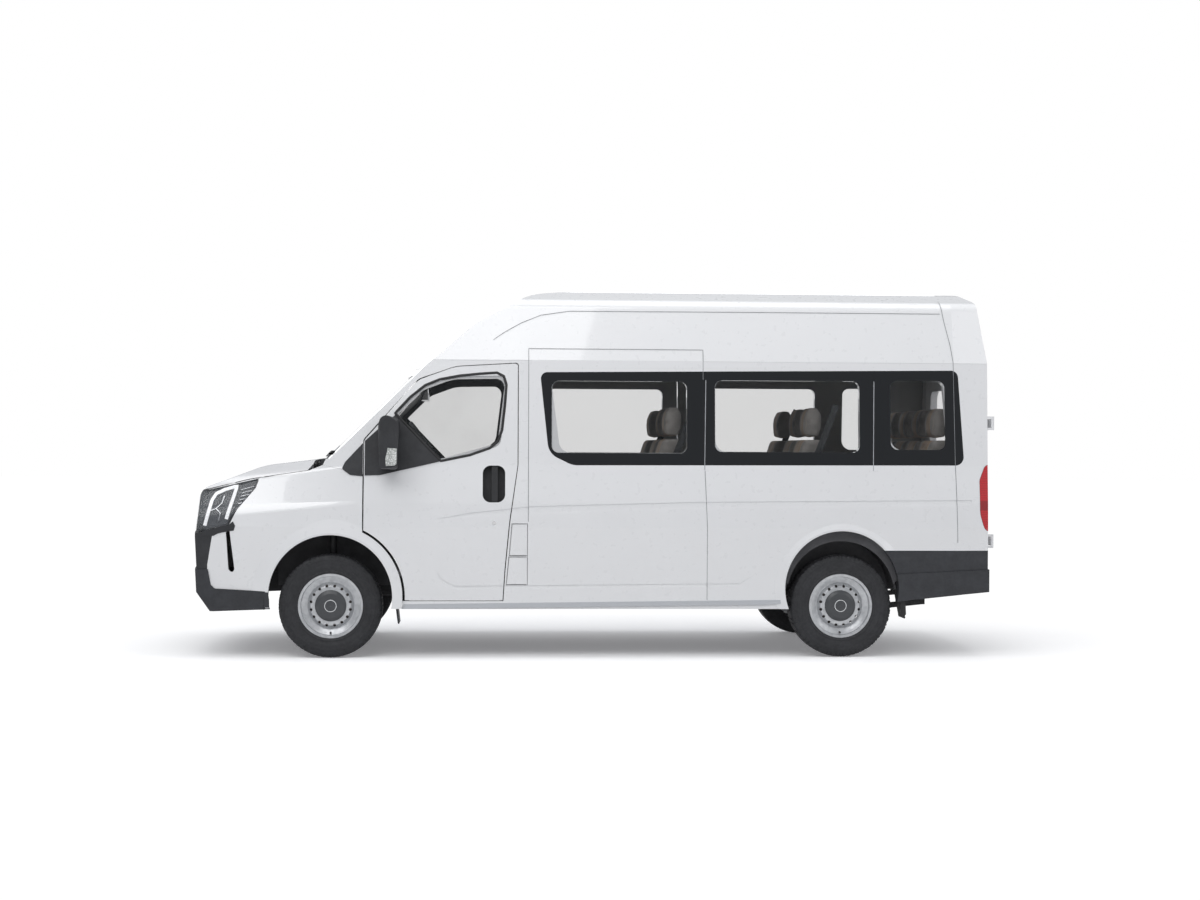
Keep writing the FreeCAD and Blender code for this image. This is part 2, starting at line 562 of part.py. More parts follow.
cowl = cut("cowl", layer("cowl_blank", "wall", block("cowl_zone", ("front_axle - 84", "front_axle + 300"),
                                                          ("-post_y + seam", "post_y - seam"),
                                                          ("cowl_z - 60", "screen_low - seam"))))

# ----------------------------------------------------------------------------------------------------------
# Nose: bonnet, wings, nose panel, headlamps, bumper
# ----------------------------------------------------------------------------------------------------------
BONNET_EDGE = [("front_axle - 849", "1155"), ("front_axle - 562", "1225"), ("front_axle - 165", "1285")]
HINGE_X = "front_axle - bonnet_hinge_x"
bonnet_panel = layer("bonnet_panel", "skin", prism("bonnet_face", "side", [
    ("nose_x - 40", "1152")] + [(x, "%s + shut_gap / 2" % z) for x, z in BONNET_EDGE] +
    [("front_axle - 128", "1328"), ("front_axle - 104", "cowl_z + 3"), ("front_axle - 104", "1600"),
     ("nose_x - 40", "1600")], *WIDE))
hinge_pocket = block("hinge_pocket", (HINGE_X + " - 30", HINGE_X + " + 60"),
    ("-bonnet_hinge_y - 22", "-bonnet_hinge_y + 22"),
                     ("1200", "bonnet_hinge_z + 6"))
hinge_hole = rod("hinge_hole", "y", "4 + bearing_gap", (HINGE_X, "-bonnet_hinge_y - 40", "bonnet_hinge_z"),
    "80")
bonnet = cut("bonnet", bonnet_panel, both("hinge_spaces", fuse("hinge_space", hinge_pocket, hinge_hole)))
bonnet_hinge = common("bonnet_hinge", fuse(
    "hinge_ear", block("hinge_plate", (HINGE_X + " - 18", HINGE_X + " + 3"),
    ("-bonnet_hinge_y - 21.5", "-bonnet_hinge_y + 21.5"),
                       ("1255", "bonnet_hinge_z + 4")),
    block("hinge_foot", (HINGE_X + " - 18", HINGE_X + " + 3"), ("-900", "-bonnet_hinge_y"),
    ("1255", "1275")),
    rod("hinge_pin", "y", "4", (HINGE_X, "-bonnet_hinge_y - 34", "bonnet_hinge_z"), "68")), glass_outer)
front_arch = rod("front_arch", "y", "arch_radius", ("front_axle", "-1400", "front_arch_z"), "1000")
HEADLAMP = [("front_axle - 861", "862"), ("front_axle - 697", "905", "30"),
    ("front_axle - 640", "1020", "60"),
            ("front_axle - 521", "1163", "60"), ("front_axle - 498", "1230"), ("front_axle - 849", "1150"),
            ("nose_x - 30", "1146"), ("nose_x - 30", "862")]
headlamp_hole = prism("headlamp_hole", "side", HEADLAMP, "-1300", "-lamp_y")
wing_strip = common("wing_strip", rod("wing_disc", "y", "door_arch_radius - seam",
    ("front_axle", "-1400", "arch_z"),
                                     "900"),
                    block("wing_strip_span", ("door_front - 12", "front_axle + 520"), ("-1300", "-500"),
                          ("sill_z - 32", "900")))
wing_face = prism("wing_face", "side", [
    ("front_axle - 838", "bumper_front_top + seam"), ("front_axle - 818", "501 + seam"),
    ("front_axle - 792", "474 + seam", "20"), ("front_axle - 446 + seam", "456 + seam"),
    ("front_axle - 446 + seam", "sill_z - 32"), ("door_front - shut_gap", "sill_z - 32"),
    ("door_front - shut_gap", "1262 - seam"), ("front_axle - 60", "1325 - seam")] +
    [(x, "%s - shut_gap / 2" % z) for x, z in reversed(BONNET_EDGE)] +
    [("front_axle - 849", "bumper_front_top + seam")], "-1300", "-wing_inner_y")
grille_gap = prism("grille_gap", "side", [("nose_x - 30", "300"), ("front_axle - 846", "300"),
                                          ("front_axle - 842", "640"), ("front_axle - 806", "862"),
                                          ("nose_x - 30", "862")], "-1300", "-500")
SIDE_SLOT = [("front_axle - 716", "863"), ("front_axle - 694", "900"), ("front_axle - 656", "606", "20"),
             ("front_axle - 672", "578", "16"), ("front_axle - 698", "606", "20")]
side_slot = layer("side_slot", "pocket", prism("side_slot_face", "side", SIDE_SLOT, *LEFT))
FRONT_FLARE = [("arch_radius - 8", "-60"), ("arch_radius - 8", "11"), ("arch_radius + 14", "14", "5"),
               ("arch_radius + 118", "-2"), ("arch_radius + 118", "-60")]
flare_ring = spun("flare_ring", FRONT_FLARE, ("front_axle", "-bulge_y + flare", "arch_z"), "-y")
flare_ring.Placement.Rotation = FreeCAD.Rotation(Vec(0, 0, 1), -4.2).multiply(flare_ring.Placement.Rotation)
wing_zone = fuse("wing_zone", wing_strip, wing_face)
front_flare = cut("front_flare", common("front_flare_zone", wing_zone, flare_ring), skin_inner)
left_wing = fuse("left_wing", cut("wing_panel", fuse("wing_blank", layer("wing_skin", "skin", wing_zone),
    front_flare),
                                  front_arch, headlamp_hole, grille_gap, side_slot), bonnet_hinge)
LAMP_MIDDLE = ("front_axle - 740", "1030")
lamp_body = layer("lamp_body", "lamp", prism("headlamp_face", "side", grow(HEADLAMP, LAMP_MIDDLE, "-seam"),
    "-1300",
                                             "-lamp_y - seam"))
lamp_cavity = layer("lamp_cavity", "cavity", prism("lamp_cavity_face", "side",
    grow(HEADLAMP, LAMP_MIDDLE, "-16"),
                                                   "-1300", "-lamp_y - 20"))
bulb_hole = rod("bulb_hole", "x", "24", ("front_axle - 900", "-lamp_y - 110", "1000"), "400")
projectors = layer("projectors", "lens_ring", fuse("projector_pair", *[
    rod("projector%d" % i, "x", "38", ("nose_x - 20", y, z), "420") for i, (y, z) in enumerate((
        ("-lamp_y - 120", "940"), ("-lamp_y - 190", "1050")))]))
left_headlamp = fuse("left_headlamp", cut("lamp_shell", lamp_body, lamp_cavity), projectors)
nose_zone = fuse("nose_zone", prism("nose_face", "side", [
    ("nose_x - 30", "bumper_front_top + seam"), ("front_axle - 846", "bumper_front_top + seam"),
    ("front_axle - 842", "640"), ("front_axle - 808", "858"),
    ("nose_x - 30", "858")], *WIDE), prism("nose_middle", "side", [
        ("nose_x - 30", "857"), ("front_axle - 800", "857"), ("front_axle - 800", "1146"),
        ("nose_x - 30", "1146")],
        "-lamp_y + seam", "lamp_y - seam"))
GRILLE = [("-500", "650", "30"), ("500", "650", "30"), ("500", "1000", "60"), ("360", "1090", "40"),
          ("-360", "1090", "40"), ("-500", "1000", "60")]
grille_hole = prism("grille_hole", "front", GRILLE, "nose_x - 60", "front_axle - 700")
SLATS = 9
slats = common("slats", layer("slat_set", "slat", fuse("slat_blocks", *([
    block("slat%d" % i, ("nose_x - 60", "front_axle - 700"), ("-520", "520"),
          ("672 + %d * slat_pitch" % i, "672 + %d * slat_pitch + slat_tall" % i)) for i in range(SLATS)] + [
    block("slat_upright%d" % i, ("nose_x - 60", "front_axle - 700"), (y, y + " + 10"), ("640", "1100"))
    for i, y in enumerate(("-255", "-5", "245"))]))),
    prism("slat_limit", "front", grow(GRILLE, ("0", "850"), "12"),
                                                          "nose_x - 60", "front_axle - 700"))
nose_panel = fuse("nose_panel", cut("nose_shell", layer("nose_skin", "skin", nose_zone), grille_hole),
    slats)
radiator = block("radiator", ("nose_x + 150", "nose_x + 190"), ("-400", "400"),
    ("floor_z - 12 + seat_gap", "1010"))
INTAKE = [("-430", "430"), ("430", "430"), ("400", "540", "20"), ("-400", "540", "20")]
intake = prism("intake", "front", INTAKE, "nose_x - 60", "front_axle - 700")
intake_bars = layer("intake_bars", "slat", fuse("intake_bar_set", *[
    block("intake_bar%d" % i, ("nose_x - 60", "front_axle - 700"), ("-445", "445"), (z, z + " + 10"))
    for i, z in enumerate(("452", "480", "508"))]))
front_bumper = fuse("front_bumper", cut("bumper_shell",
    layer("bumper_blank", "bumper", prism("bumper_face", "side", [
    ("nose_x - 30", "326"), ("front_axle - 800", "318", "40"), ("front_axle - 446", "332"),
    ("front_axle - 446", "456"),
    ("front_axle - 792", "474", "20"), ("front_axle - 818", "501"),
    ("front_axle - 838", "bumper_front_top"),
    ("nose_x - 30", "bumper_front_top")], *WIDE)), intake, front_arch,
    mirrored("front_arch_right", front_arch), block("undertray_gap", (
        "front_axle - 640", "front_axle"), ("-850", "850"), ("300", "400"))), intake_bars)

# ----------------------------------------------------------------------------------------------------------
# Rear: doors, bumper, lamps
# ----------------------------------------------------------------------------------------------------------
REAR_DOOR = [("-post_y + shut_gap", "rear_door_low", "20"), ("-shut_gap / 2", "rear_door_low"),
             ("-shut_gap / 2", "seam_z - shut_gap + seam"),
             ("-post_y + shut_gap", "seam_z - shut_gap + seam", "20")]
REAR_WINDOW = [("-post_y + 90", "1340", "60"), ("-70", "1340", "60"), ("-70", "1930", "60"),
    ("-post_y + 120", "1930", "60")]
rear_reach = ("tail_x - 200", "tail_x + 50")
rear_door_blank = layer("rear_door_blank", "wall", prism("rear_door_face", "front", REAR_DOOR, *rear_reach))
rear_window_cut = prism("rear_window_cut", "front", grow(REAR_WINDOW, ("-400", "1600"), "-25"), *rear_reach)
rear_rebate = layer("rear_rebate", "rebate", prism("rear_rebate_face", "front", REAR_WINDOW, *rear_reach))


def hinge_pair(name):
    """Door side of two stout external hinges: barrels on the axis, straps over the post and pads on the door."""
    pieces = []
    for i, height in enumerate(("hinge_low", "hinge_high")):
        top = height + " + hinge_tall"
        pieces.append(rod("%s_barrel%d" % (name, i), "z", "hinge_radius",
            ("rear_hinge_x", "-rear_hinge_y", height),
                          "hinge_tall"))
        pieces.append(block("%s_strap%d" % (name, i), ("rear_hinge_x - 4", "rear_hinge_x + 4"),
                            ("-rear_hinge_y", "-post_y + 30"), (height, top)))
        pieces.append(block("%s_pad%d" % (name, i), ("rear_hinge_x - 30", "rear_hinge_x + 4"),
                            ("-post_y + 10", "-post_y + 78"), (height, top)))
    return fuse(name, *pieces)


left_rear_door = fuse("left_rear_door", cut("rear_door_panel", rear_door_blank, rear_window_cut,
    rear_rebate),
                      hinge_pair("rear_hinges"))
left_rear_glass = layer("left_rear_glass", "glass", 
                         prism("rear_glass_face", "front", grow(REAR_WINDOW, ("-400", "1600"), "-1"),
                         *rear_reach))
CLADDING = [("rear_axle + 300", "bumper_top - seam"), ("rear_axle + 300", "376"),
    ("rear_axle + 470", "398"),
            ("rear_axle + 857", "438"), ("tail_x + 40", "464"), ("tail_x + 40", "bumper_top - seam")]
STEP = [("rear_axle + 300", "575"), ("rear_axle + 300", "376"), ("rear_axle + 470", "398"),
    ("rear_axle + 857", "438"),
        ("tail_x + 40", "464"), ("tail_x + 40", "617")]
cladding = both("cladding", prism("cladding_face", "side", CLADDING, "-1300", "-post_y"))
lower_step = prism("lower_step", "side", STEP, *WIDE)
beam = block("bumper_beam", ("tail_x - 150", "tail_x + 40"), ("-post_y", "post_y"),
             ("464", "rear_door_low - shut_gap"))
rear_bumper = cut("rear_bumper", fuse("rear_bumper_blank",
    layer("cladding_skin", "wall", fuse("cladding_zone", cladding,
                                                                                              beam)),
                                      layer("step_skin", "bumper", common("step_zone", lower_step, fuse(
                                          "step_reach", cladding, beam)))),
                  rear_arch, mirrored("rear_arch_right", rear_arch))
left_tail_lamp = layer("left_tail_lamp", "pocket", 
                        prism("tail_lamp_face", "side",
                        grow(tail_lamp_outline, ("tail_x - 40", "1100"), "-2"), "-1300",
                              "-post_y - 27"))
tail_lamps = fuse("tail_lamps", left_tail_lamp, mirrored("right_tail_lamp", left_tail_lamp))


def flap(row, pin_y):
    """A thin lid with its upright hinge pin at the rear edge."""
    lid = layer(row[0] + "_lid", "lid", flap_prism(row[0] + "_face", row, "-flap_gap"))
    pin = rod(row[0] + "_pin", "z", "2", ("flap_hinge_x - flap_gap", "-" + pin_y, row[1] + " + seat_gap"),
              "%s - %s - 2 * seat_gap" % (row[2], row[1]))
    return fuse(row[0], lid, pin)


fuel_flap, service_flap = [flap(row, y) for row, y in zip(FLAPS, ("fuel_pin_y", "service_pin_y"))]


# ----------------------------------------------------------------------------------------------------------
# Floor, rails, bulkhead
# ----------------------------------------------------------------------------------------------------------
front_tub = rod("front_tub", "y", "tub_radius", ("front_axle", "-1000", "arch_z"), "1000 - tub_y")
rear_tub = rod("rear_tub", "y", "rear_tub_radius", ("rear_axle", "-1000", "rear_tub_z"),
    "1000 - rear_tub_y")
front_house = rod("front_house", "y", "tub_radius + tub_thick", ("front_axle", "-990", "arch_z"),
                  "990 - tub_y + tub_thick")
rear_house = rod("rear_house", "y", "rear_tub_radius + tub_thick", ("rear_axle", "-960", "rear_tub_z"),
                 "960 - rear_tub_y + tub_thick")
houses = both("houses", common("house_drums", fuse("house_pair", front_house, rear_house),
                               block("house_span", ("nose_x + 600", "tail_x - 100"), ("-1000", "0"),
                                     ("floor_z - 90", "1000"))))
pan = block("pan", ("front_axle + 60", "tail_x - 90"), ("-1000", "1000"),
    ("floor_z", "floor_z + floor_thick"))
wall_plate = block("wall_plate", ("front_axle + 20", "front_axle + 60"), ("-800", "800"),
    ("floor_z", "cowl_z - 70"))
posts = both("posts", block("post", ("front_axle + 100", "door_front - 12"), ("-1000", "-post_inner"),
                            ("arch_z + 300", "1240")))
strut_tower = block("strut_tower", ("front_axle - 60", "front_axle + 60"),
    ("-kingpin_y - 55", "-kingpin_y + 55"),
                    ("841", "tub_top + 8"))
tubs = both("tubs", fuse("tub", front_tub, rear_tub))
wheelhouses = fuse("wheelhouses", cut("house_shells", common("house_blank", inner, houses), tubs),
                   both("towers", strut_tower))
floor = cut("floor_pan", common("floor_blank", inner, pan), houses, tubs)
hinge_leaves = both("hinge_leaves", fuse("leaf_pair",
    *[piece for i, low in enumerate(DOOR_HINGES) for piece in (
    block("leaf_arm%d" % i, ("door_front - 40", HINGE_LINE + " + 14"), ("-948", "-935"),
    (low + " + 6", low + " + 44")),
    block("leaf_hook%d" % i, (HINGE_LINE + " + 3.2", HINGE_LINE + " + 14"), ("-door_hinge_y", "-936"),
          (low + " + 6", low + " + 44")),
    block("leaf_foot%d" % i, ("door_front - 40", "door_front - 16"), ("-950", "-post_inner - 60"),
          (low + " + 6", low + " + 44")))]))
bulkhead = fuse("bulkhead", cut("bulkhead_shell",
    common("bulkhead_blank", inner, fuse("bulkhead_parts", wall_plate,
                                                                                      posts)), houses, tubs),
                cut("leaf_fit", hinge_leaves, houses))
RAIL_HEIGHT = ("floor_z - rail_tall", "floor_z")
rails = both("rails", block("rail", ("nose_x + 150", "tail_x - 140"), ("-rail_y - rail_wide", "-rail_y"),
    RAIL_HEIGHT))
CROSSMEMBERS = ["nose_x + 150", "front_axle + 620", "front_axle + 1500", "front_axle + 2400",
    "rear_axle + 640",
                "tail_x - 210"]
beams = [block("crossmember%d" % i, (x, x + " + 70"), ("-rail_y - 5", "rail_y + 5"),
               ("floor_z - rail_tall + 15", "floor_z - 12")) for i, x in enumerate(CROSSMEMBERS)]
tow_holes = [rod("tow_hole%d" % i, "x", "tow_hole_radius", ("tail_x - 240", y, z), "120") for i,
    (y, z) in enumerate(
    (y, z) for y in ("-300", "300") for z in ("floor_z - 83", "floor_z - 33"))]
chassis_rails = cut("chassis_rails", fuse("rail_frame", rails, *beams), *tow_holes)
engine = fuse("engine", block("engine_block", ("front_axle - 660", "front_axle - 60"), ("-280", "280"),
                              ("floor_z - 110", "1080")),
              block("engine_mounts", ("front_axle - 400", "front_axle - 340"), ("-rail_y", "rail_y"),
                    ("floor_z - 80", "floor_z - 30")))

sill_strip = layer("sill_strip", "strip", prism("sill_face", "side", [
    ("front_axle + 490", "sill_z - 34"), ("rear_axle - 560", "sill_z - 6"),
    ("rear_axle - 425", "sill_z + 2"),
    ("rear_axle - 405", "sill_z + 28"), ("front_axle + 505", "sill_z - 2")], *LEFT))
sills = both("sills", cut("sill_piece", sill_strip, rear_flare, front_flare))
front_mudflap = prism("front_mudflap", "side", [
    ("front_axle + 420", "540"), ("front_axle + 438", "540"), ("front_axle + 474", "236", "5"),
    ("front_axle + 462", "232", "5")], "-955", "-770")
rear_mudflap = cut("rear_mudflap", prism("rear_flap_face", "side", [
    ("rear_axle + 397", "545"), ("rear_axle + 413", "545"), ("rear_axle + 462", "268", "5"),
    ("rear_axle + 450", "265", "5")], "-930", "-760"), rear_bumper, wheelhouses)
mudflaps = both("mudflaps", fuse("mudflap_pair", cut("front_flap", front_mudflap, left_wing, wheelhouses),
                                 rear_mudflap))
propshaft = rod("propshaft", "x", "38", ("front_axle + 60", "0", "tyre_radius + 40"),
                "wheelbase - 60 - 150 - bearing_gap")
gearbox = prism("gearbox", "side", [("front_axle - 60 + seat_gap", "440"), ("front_axle + 60", "450"),
                                    ("front_axle + 560", "370", "30"), ("front_axle + 560", "440", "30"),
                                    ("front_axle + 200", "556"), ("front_axle - 60 + seat_gap", "556")],
                                    "-130", "130")
driveline = fuse("driveline", propshaft, gearbox)
tank_straps = [block("tank_strap%d" % i, (x, x + " + 40"), ("-915", "-515"), ("380", "floor_z - seat_gap"))
               for i, x in enumerate(("front_axle + 1640", "front_axle + 2240"))]
fuel_tank = fuse("fuel_tank", prism("tank", "front",
    [("-905", "388", "40"), ("-520", "388", "40"), ("-520", "552", "20"),
                                                      ("-905", "552", "20")], "front_axle + 1500",
                                                      "front_axle + 2420"),
                 *tank_straps)
silencer = prism("silencer", "front", [("540", "400", "50"), ("840", "400", "50"), ("840", "530", "50"),
                                       ("540", "530", "50")], "front_axle + 1300", "front_axle + 2000")
pipe = rod("tail_pipe", "x", "27", ("front_axle + 1990", "620", "462"), "900")
down_pipe = rod("down_pipe", "x", "27", ("front_axle + 700", "620", "462"), "610")
hangers = [block("pipe_hanger%d" % i, (x, x + " + 24"), ("612", "628"), ("470", "floor_z - seat_gap"))
           for i, x in enumerate(("front_axle + 900", "front_axle + 1600", "front_axle + 2800"))]
exhaust = fuse("exhaust", silencer, pipe, down_pipe, *hangers)
WIPERS = [("-690", "-60", "-640"), ("20", "650", "80")]
wiper_blades = []
for number, (blade_start, blade_end, root) in enumerate(WIPERS):
    wiper_blades.append(layer("wiper%d" % number, "strip", prism("wiper_face%d" % number, "front", [
        (blade_start, "1412"), (blade_end, "1400"), (blade_end, "1412"), (blade_start, "1424")],
        "nose_x - 60", "front_axle + 600")))
    wiper_blades.append(layer("wiper_arm%d" % number, "strip", prism("wiper_arm_face%d" % number, "front", [
        (root, "screen_low - 8"), ("%s + 30" % root, "screen_low - 8"), ("%s + 330" % root, "1416"),
        ("%s + 300" % root, "1424")], "nose_x - 60", "front_axle + 600")))
wipers = fuse("wipers", *wiper_blades)

# ----------------------------------------------------------------------------------------------------------
# Wheels: a pressed steel wheel with vents round its disc, cap, hub stub and brake disc, and the tyre
# ----------------------------------------------------------------------------------------------------------
RIM = [("222", "84"), ("222", "76"), ("211", "73"), ("206", "42"), ("184", "30"), ("181", "-24"),
    ("205", "-40"),
       ("211", "-76"), ("222", "-78"), ("222", "-86"), ("203", "-84"), ("197", "-46"), ("172", "-30"),
       ("173", "8"), ("158", "18", "8"), ("132", "46", "10"), ("110", "hub_face"), ("0", "hub_face"),
       ("0", "hub_face + 12"), ("104", "hub_face + 12"), ("136", "58", "10"), ("163", "32", "8"),
       ("186", "44"),
       ("201", "50"), ("205", "82")]
CAP = [("0", "hub_face + 10"), ("107", "hub_face + 10"), ("107", "hub_face + 18", "4"),
    ("84", "hub_face + 30", "10"),
       ("0", "hub_face + 34")]
ROTOR = [("0", "hub_face + 2"), ("85", "hub_face + 2"), ("85", "hub_face - 40"),
    ("disc_radius", "hub_face - 46"),
         ("disc_radius", "hub_face - 72"), ("stub_radius", "hub_face - 72"),
         ("stub_radius", "hub_face - 135"),
         ("0", "hub_face - 135")]
SIDEWALL = "(tyre_radius - bead_radius)"               # the tyre's height; its profile is in shares of it
TYRE_LIP = "bead_radius + %s * 13 / 133" % SIDEWALL
TYRE_WIDEST = "bead_radius + %s * 67 / 133" % SIDEWALL
TYRE_SHOULDER = "tyre_radius - %s * 28 / 133" % SIDEWALL
TYRE = [("bead_radius", "84"), (TYRE_LIP, "94", "10"), (TYRE_WIDEST, "tyre_width / 2", "60"),
        (TYRE_SHOULDER, "tyre_width / 2 - 3"),
        ("tyre_radius", "tyre_width / 2 - 24", "16"), ("tyre_radius", "-(tyre_width / 2 - 24)", "16"),
        (TYRE_SHOULDER, "-(tyre_width / 2 - 3)"), (TYRE_WIDEST, "-tyre_width / 2", "60"),
        (TYRE_LIP, "-94", "10"), ("bead_radius", "-86")]


def wheel(name, axle):
    """Steel wheel and tyre on the left-hand end of an axle."""
    place = (axle, "-half_track", "tyre_radius")
    disc = spun(name + "_disc", RIM, place, "-y")
    vents = []
    for number in range(16):
        turn = "(%d * 22.5 + 11.25)" % number
        vents.append(rod("%s_vent%d" % (name, number), "y", "vent_radius",
                         ("%s + vent_circle * cos(%s)" % (axle, turn), "-half_track - 90",
                          "tyre_radius + vent_circle * sin(%s)" % turn), "90"))
    vented = cut(name + "_vented", disc, fuse(name + "_vents", *vents))
    steel = fuse(name, vented, spun(name + "_cap", CAP, place, "-y"),
        spun(name + "_rotor", ROTOR, place, "-y"))
    return steel, spun(name + "_tyre", TYRE, place, "-y")


left_front_wheel, left_front_tyre = wheel("left_front_wheel", "front_axle")
left_rear_wheel, left_rear_tyre = wheel("left_rear_wheel", "rear_axle")

# ----------------------------------------------------------------------------------------------------------
# Front suspension, knuckles, rear axle and springs, driveline
# ----------------------------------------------------------------------------------------------------------
BEARING_Y = "-half_track - hub_face + 73"          # just inboard of the brake disc
bearing_hole = rod("bearing_hole", "y", "stub_radius + bearing_gap",
    ("front_axle", "-half_track", "tyre_radius"),
                   "200")
left_knuckle = cut("left_knuckle", fuse("knuckle_body", rod("knuckle_hub", "y", "55", (
    "front_axle", "-half_track + 30", "tyre_radius"), "half_track - kingpin_y - 30"),
    block("knuckle_upright", ("front_axle - 30", "front_axle + 30"), ("-kingpin_y - 45", "-kingpin_y + 22"),
          ("265", "560")),
    block("steering_arm", ("front_axle", "front_axle + 150"), ("-kingpin_y - 30", "-kingpin_y + 15"),
    ("290", "325")),
    rod("ball_stud", "z", "16", ("front_axle", "-kingpin_y", "258 + bearing_gap"), "20"),
    rod("strut_foot", "z", "34", ("front_axle", "-kingpin_y", "470"), "130")), bearing_hole)
lower_arm = prism("lower_arm", "plan", [("front_axle - 210", "-340"), ("front_axle + 210", "-340"),
                                        ("front_axle + 38", "-kingpin_y - 20", "20"),
                                        ("front_axle - 38", "-kingpin_y - 20", "20")], "222", "258")
strut = rod("strut", "z", "26", ("front_axle", "-kingpin_y", "600.5"), "240")
subframe = block("subframe", ("front_axle - 190", "front_axle + 190"), ("-350", "350"), ("235", "300"))
subframe_legs = [block("subframe_leg%d" % i, (x, x + " + 60"), ("-rail_y - 60", "-300"),
    ("262", "floor_z - rail_tall"))
                 for i, x in enumerate(("front_axle - 190", "front_axle + 130"))]
front_suspension = fuse("front_suspension", both("arms", fuse("arm_side", lower_arm, *subframe_legs)),
    subframe)
struts = both("struts", strut)
axle_bore = rod("axle_bore", "y", "stub_radius + bearing_gap", ("rear_axle", "-half_track", "tyre_radius"),
    "150")
axle_half = cut("axle_half", rod("axle_half_tube", "y", "axle_tube",
    ("rear_axle", BEARING_Y, "tyre_radius"),
                                 "half_track + hub_face - 73"), axle_bore)
housing = spun("housing", [("0", "-150"), ("110", "-150", "30"), ("150", "0", "60"), ("110", "150", "30"),
    ("0", "150")],
               ("rear_axle", "0", "tyre_radius"), "x")
SPRING = [("-700", "20"), ("-680", "20"), ("0", "-52", "1600"), ("680", "20"), ("700", "20"), ("700", "52"),
          ("680", "52"), ("0", "-10", "1600"), ("-680", "52"), ("-700", "52")]
SPRING_Z = "tyre_radius - axle_tube"
spring_across = ("-rail_y - rail_wide + 2", "-rail_y - 2")
perch = block("perch", ("rear_axle - 50", "rear_axle + 50"), spring_across,
    (SPRING_Z + " - 2.3", "tyre_radius"))
rear_axle_beam = fuse("rear_axle_beam", both("axle_tubes", axle_half), both("perches", perch), housing)
leaf = prism("leaf", "side", [("rear_axle + (%s)" % c[0],
    SPRING_Z + " + (%s)" % c[1]) + c[2:] for c in SPRING],
             *spring_across)
hangers = [block("hanger%d" % i, (x, x + " + 36"), spring_across,
    (SPRING_Z + " + 40", "floor_z - rail_tall"))
           for i, x in enumerate(("rear_axle - 700", "rear_axle + 664"))]
leaf_springs = both("leaf_springs", fuse("spring_side", leaf, *hangers))

# ----------------------------------------------------------------------------------------------------------
# Seats, dashboard and steering wheel
# ----------------------------------------------------------------------------------------------------------
def seat(name, row, middle):
    """A cushion, a leaning back and a headrest, as three plain soft solids in one seat."""
    low, high = "%s - seat_wide / 2" % middle, "%s + seat_wide / 2" % middle
    x = "front_axle + %s" % row
    squab = prism(name + "_squab", "side", [(x + " - 560", "cushion_z", "40"), (x + " - 40", "cushion_z"),
                                            (x + " - 40", "cushion_z + 120"),
                                            (x + " - 560", "cushion_z + 130", "50")],
                  low, high)
    back = prism(name + "_back", "side", [(x + " - 160", "cushion_z + 121"),
        (x + " - 30", "cushion_z + 121"),
                                          (x + " + 60", "cushion_z + 640", "50"),
                                          (x + " - 50", "cushion_z + 640", "50")],
                 low + " + 12", high + " - 12")
    head = prism(name + "_head", "side", [(x + " - 45", "cushion_z + 690", "30"),
        (x + " + 48", "cushion_z + 690", "30"),
                                          (x + " + 62", "cushion_z + 865", "30"),
                                          (x + " - 30", "cushion_z + 865", "30")],
                 middle + " - 120", middle + " + 120")
    stalk = block(name + "_stalk", (x + " - 5", x + " + 20"), (middle + " - 60", middle + " + 60"),
                  ("cushion_z + 600", "cushion_z + 700"))
    return fuse(name, squab, back, stalk, head)


def seat_stand(name, row, middle):
    """Two steel legs and the tray under one seat."""
    x = "front_axle + %s" % row
    tray = block(name + "_tray", (x + " - 520", x + " - 60"), ("%s - 200" % middle, "%s + 200" % middle),
                 ("cushion_z - 30", "cushion_z - seat_gap"))
    legs = [block("%s_leg%d" % (name, i), (x + " - 500", x + " - 80"),
        ("%s %s" % (middle, a), "%s %s" % (middle, b)),
                  ("floor_z + floor_thick", "cushion_z - 29")) for i,
                  (a, b) in enumerate((("- 190", "- 160"),
                                                                                         ("+ 160", "+ 190")))]
    return fuse(name, tray, *legs)


ROW_PLACES = [("row_one", "-aisle_y"), ("row_one", "-aisle_y + seat_pitch"), ("row_one", "aisle_y"),
              ("row_two", "-aisle_y"), ("row_two", "-aisle_y + seat_pitch"), ("row_two", "aisle_y"),
              ("row_three", "-aisle_y - 35"), ("row_three", "-218"), ("row_three", "218"),
              ("row_three", "aisle_y + 35")]
CAB_PLACES = [("cab_row", "-column_y"), ("cab_row", "column_y")]
front_row_seats, middle_row_seats, rear_row_seats = [
    fuse(name, *[seat("%s%d" % (name, i), *p) for i, p in enumerate(ROW_PLACES) if p[0] == row])
    for name, row in (("front_row_seats", "row_one"), ("middle_row_seats", "row_two"),
    ("rear_row_seats", "row_three"))]
cab_seats = fuse("cab_seats", *[seat("cab_seat%d" % i, *p) for i, p in enumerate(CAB_PLACES)])
house_clear = both("house_clear", rod("house_space", "y", "rear_tub_radius + tub_thick + seat_gap",
                                      ("rear_axle", "-990", "rear_tub_z"),
                                      "990 - rear_tub_y + tub_thick + seat_gap"))
seat_frames = cut("seat_frames", fuse("stands", *[seat_stand("stand%d" % i, *p) for i,
    p in enumerate(ROW_PLACES + CAB_PLACES)]), house_clear)
dashboard = common("dashboard", prism("dash_block", "side", [
    ("front_axle + 60", "1180"), ("front_axle + 60", "900"), ("front_axle + 330", "900", "40"),
    ("front_axle + 430", "1130", "60"), ("front_axle + 420", "1330", "60"),
    ("front_axle + 240", "1365", "60"),
    ("front_axle + 60", "1290")], "-post_inner + seam", "post_inner - seam"),
    inner)

def tilted(solid):
    """A piece turned from upright on to the steering column's slope, about the wheel's own middle."""
    solid.Placement.Rotation = FreeCAD.Rotation(Vec(0, 1, 0), 53)
    return solid


def on_column(name, corners):
    piece = spun(name, corners, ("front_axle + column_x", "-column_y", "column_z"))
    return tilted(piece)


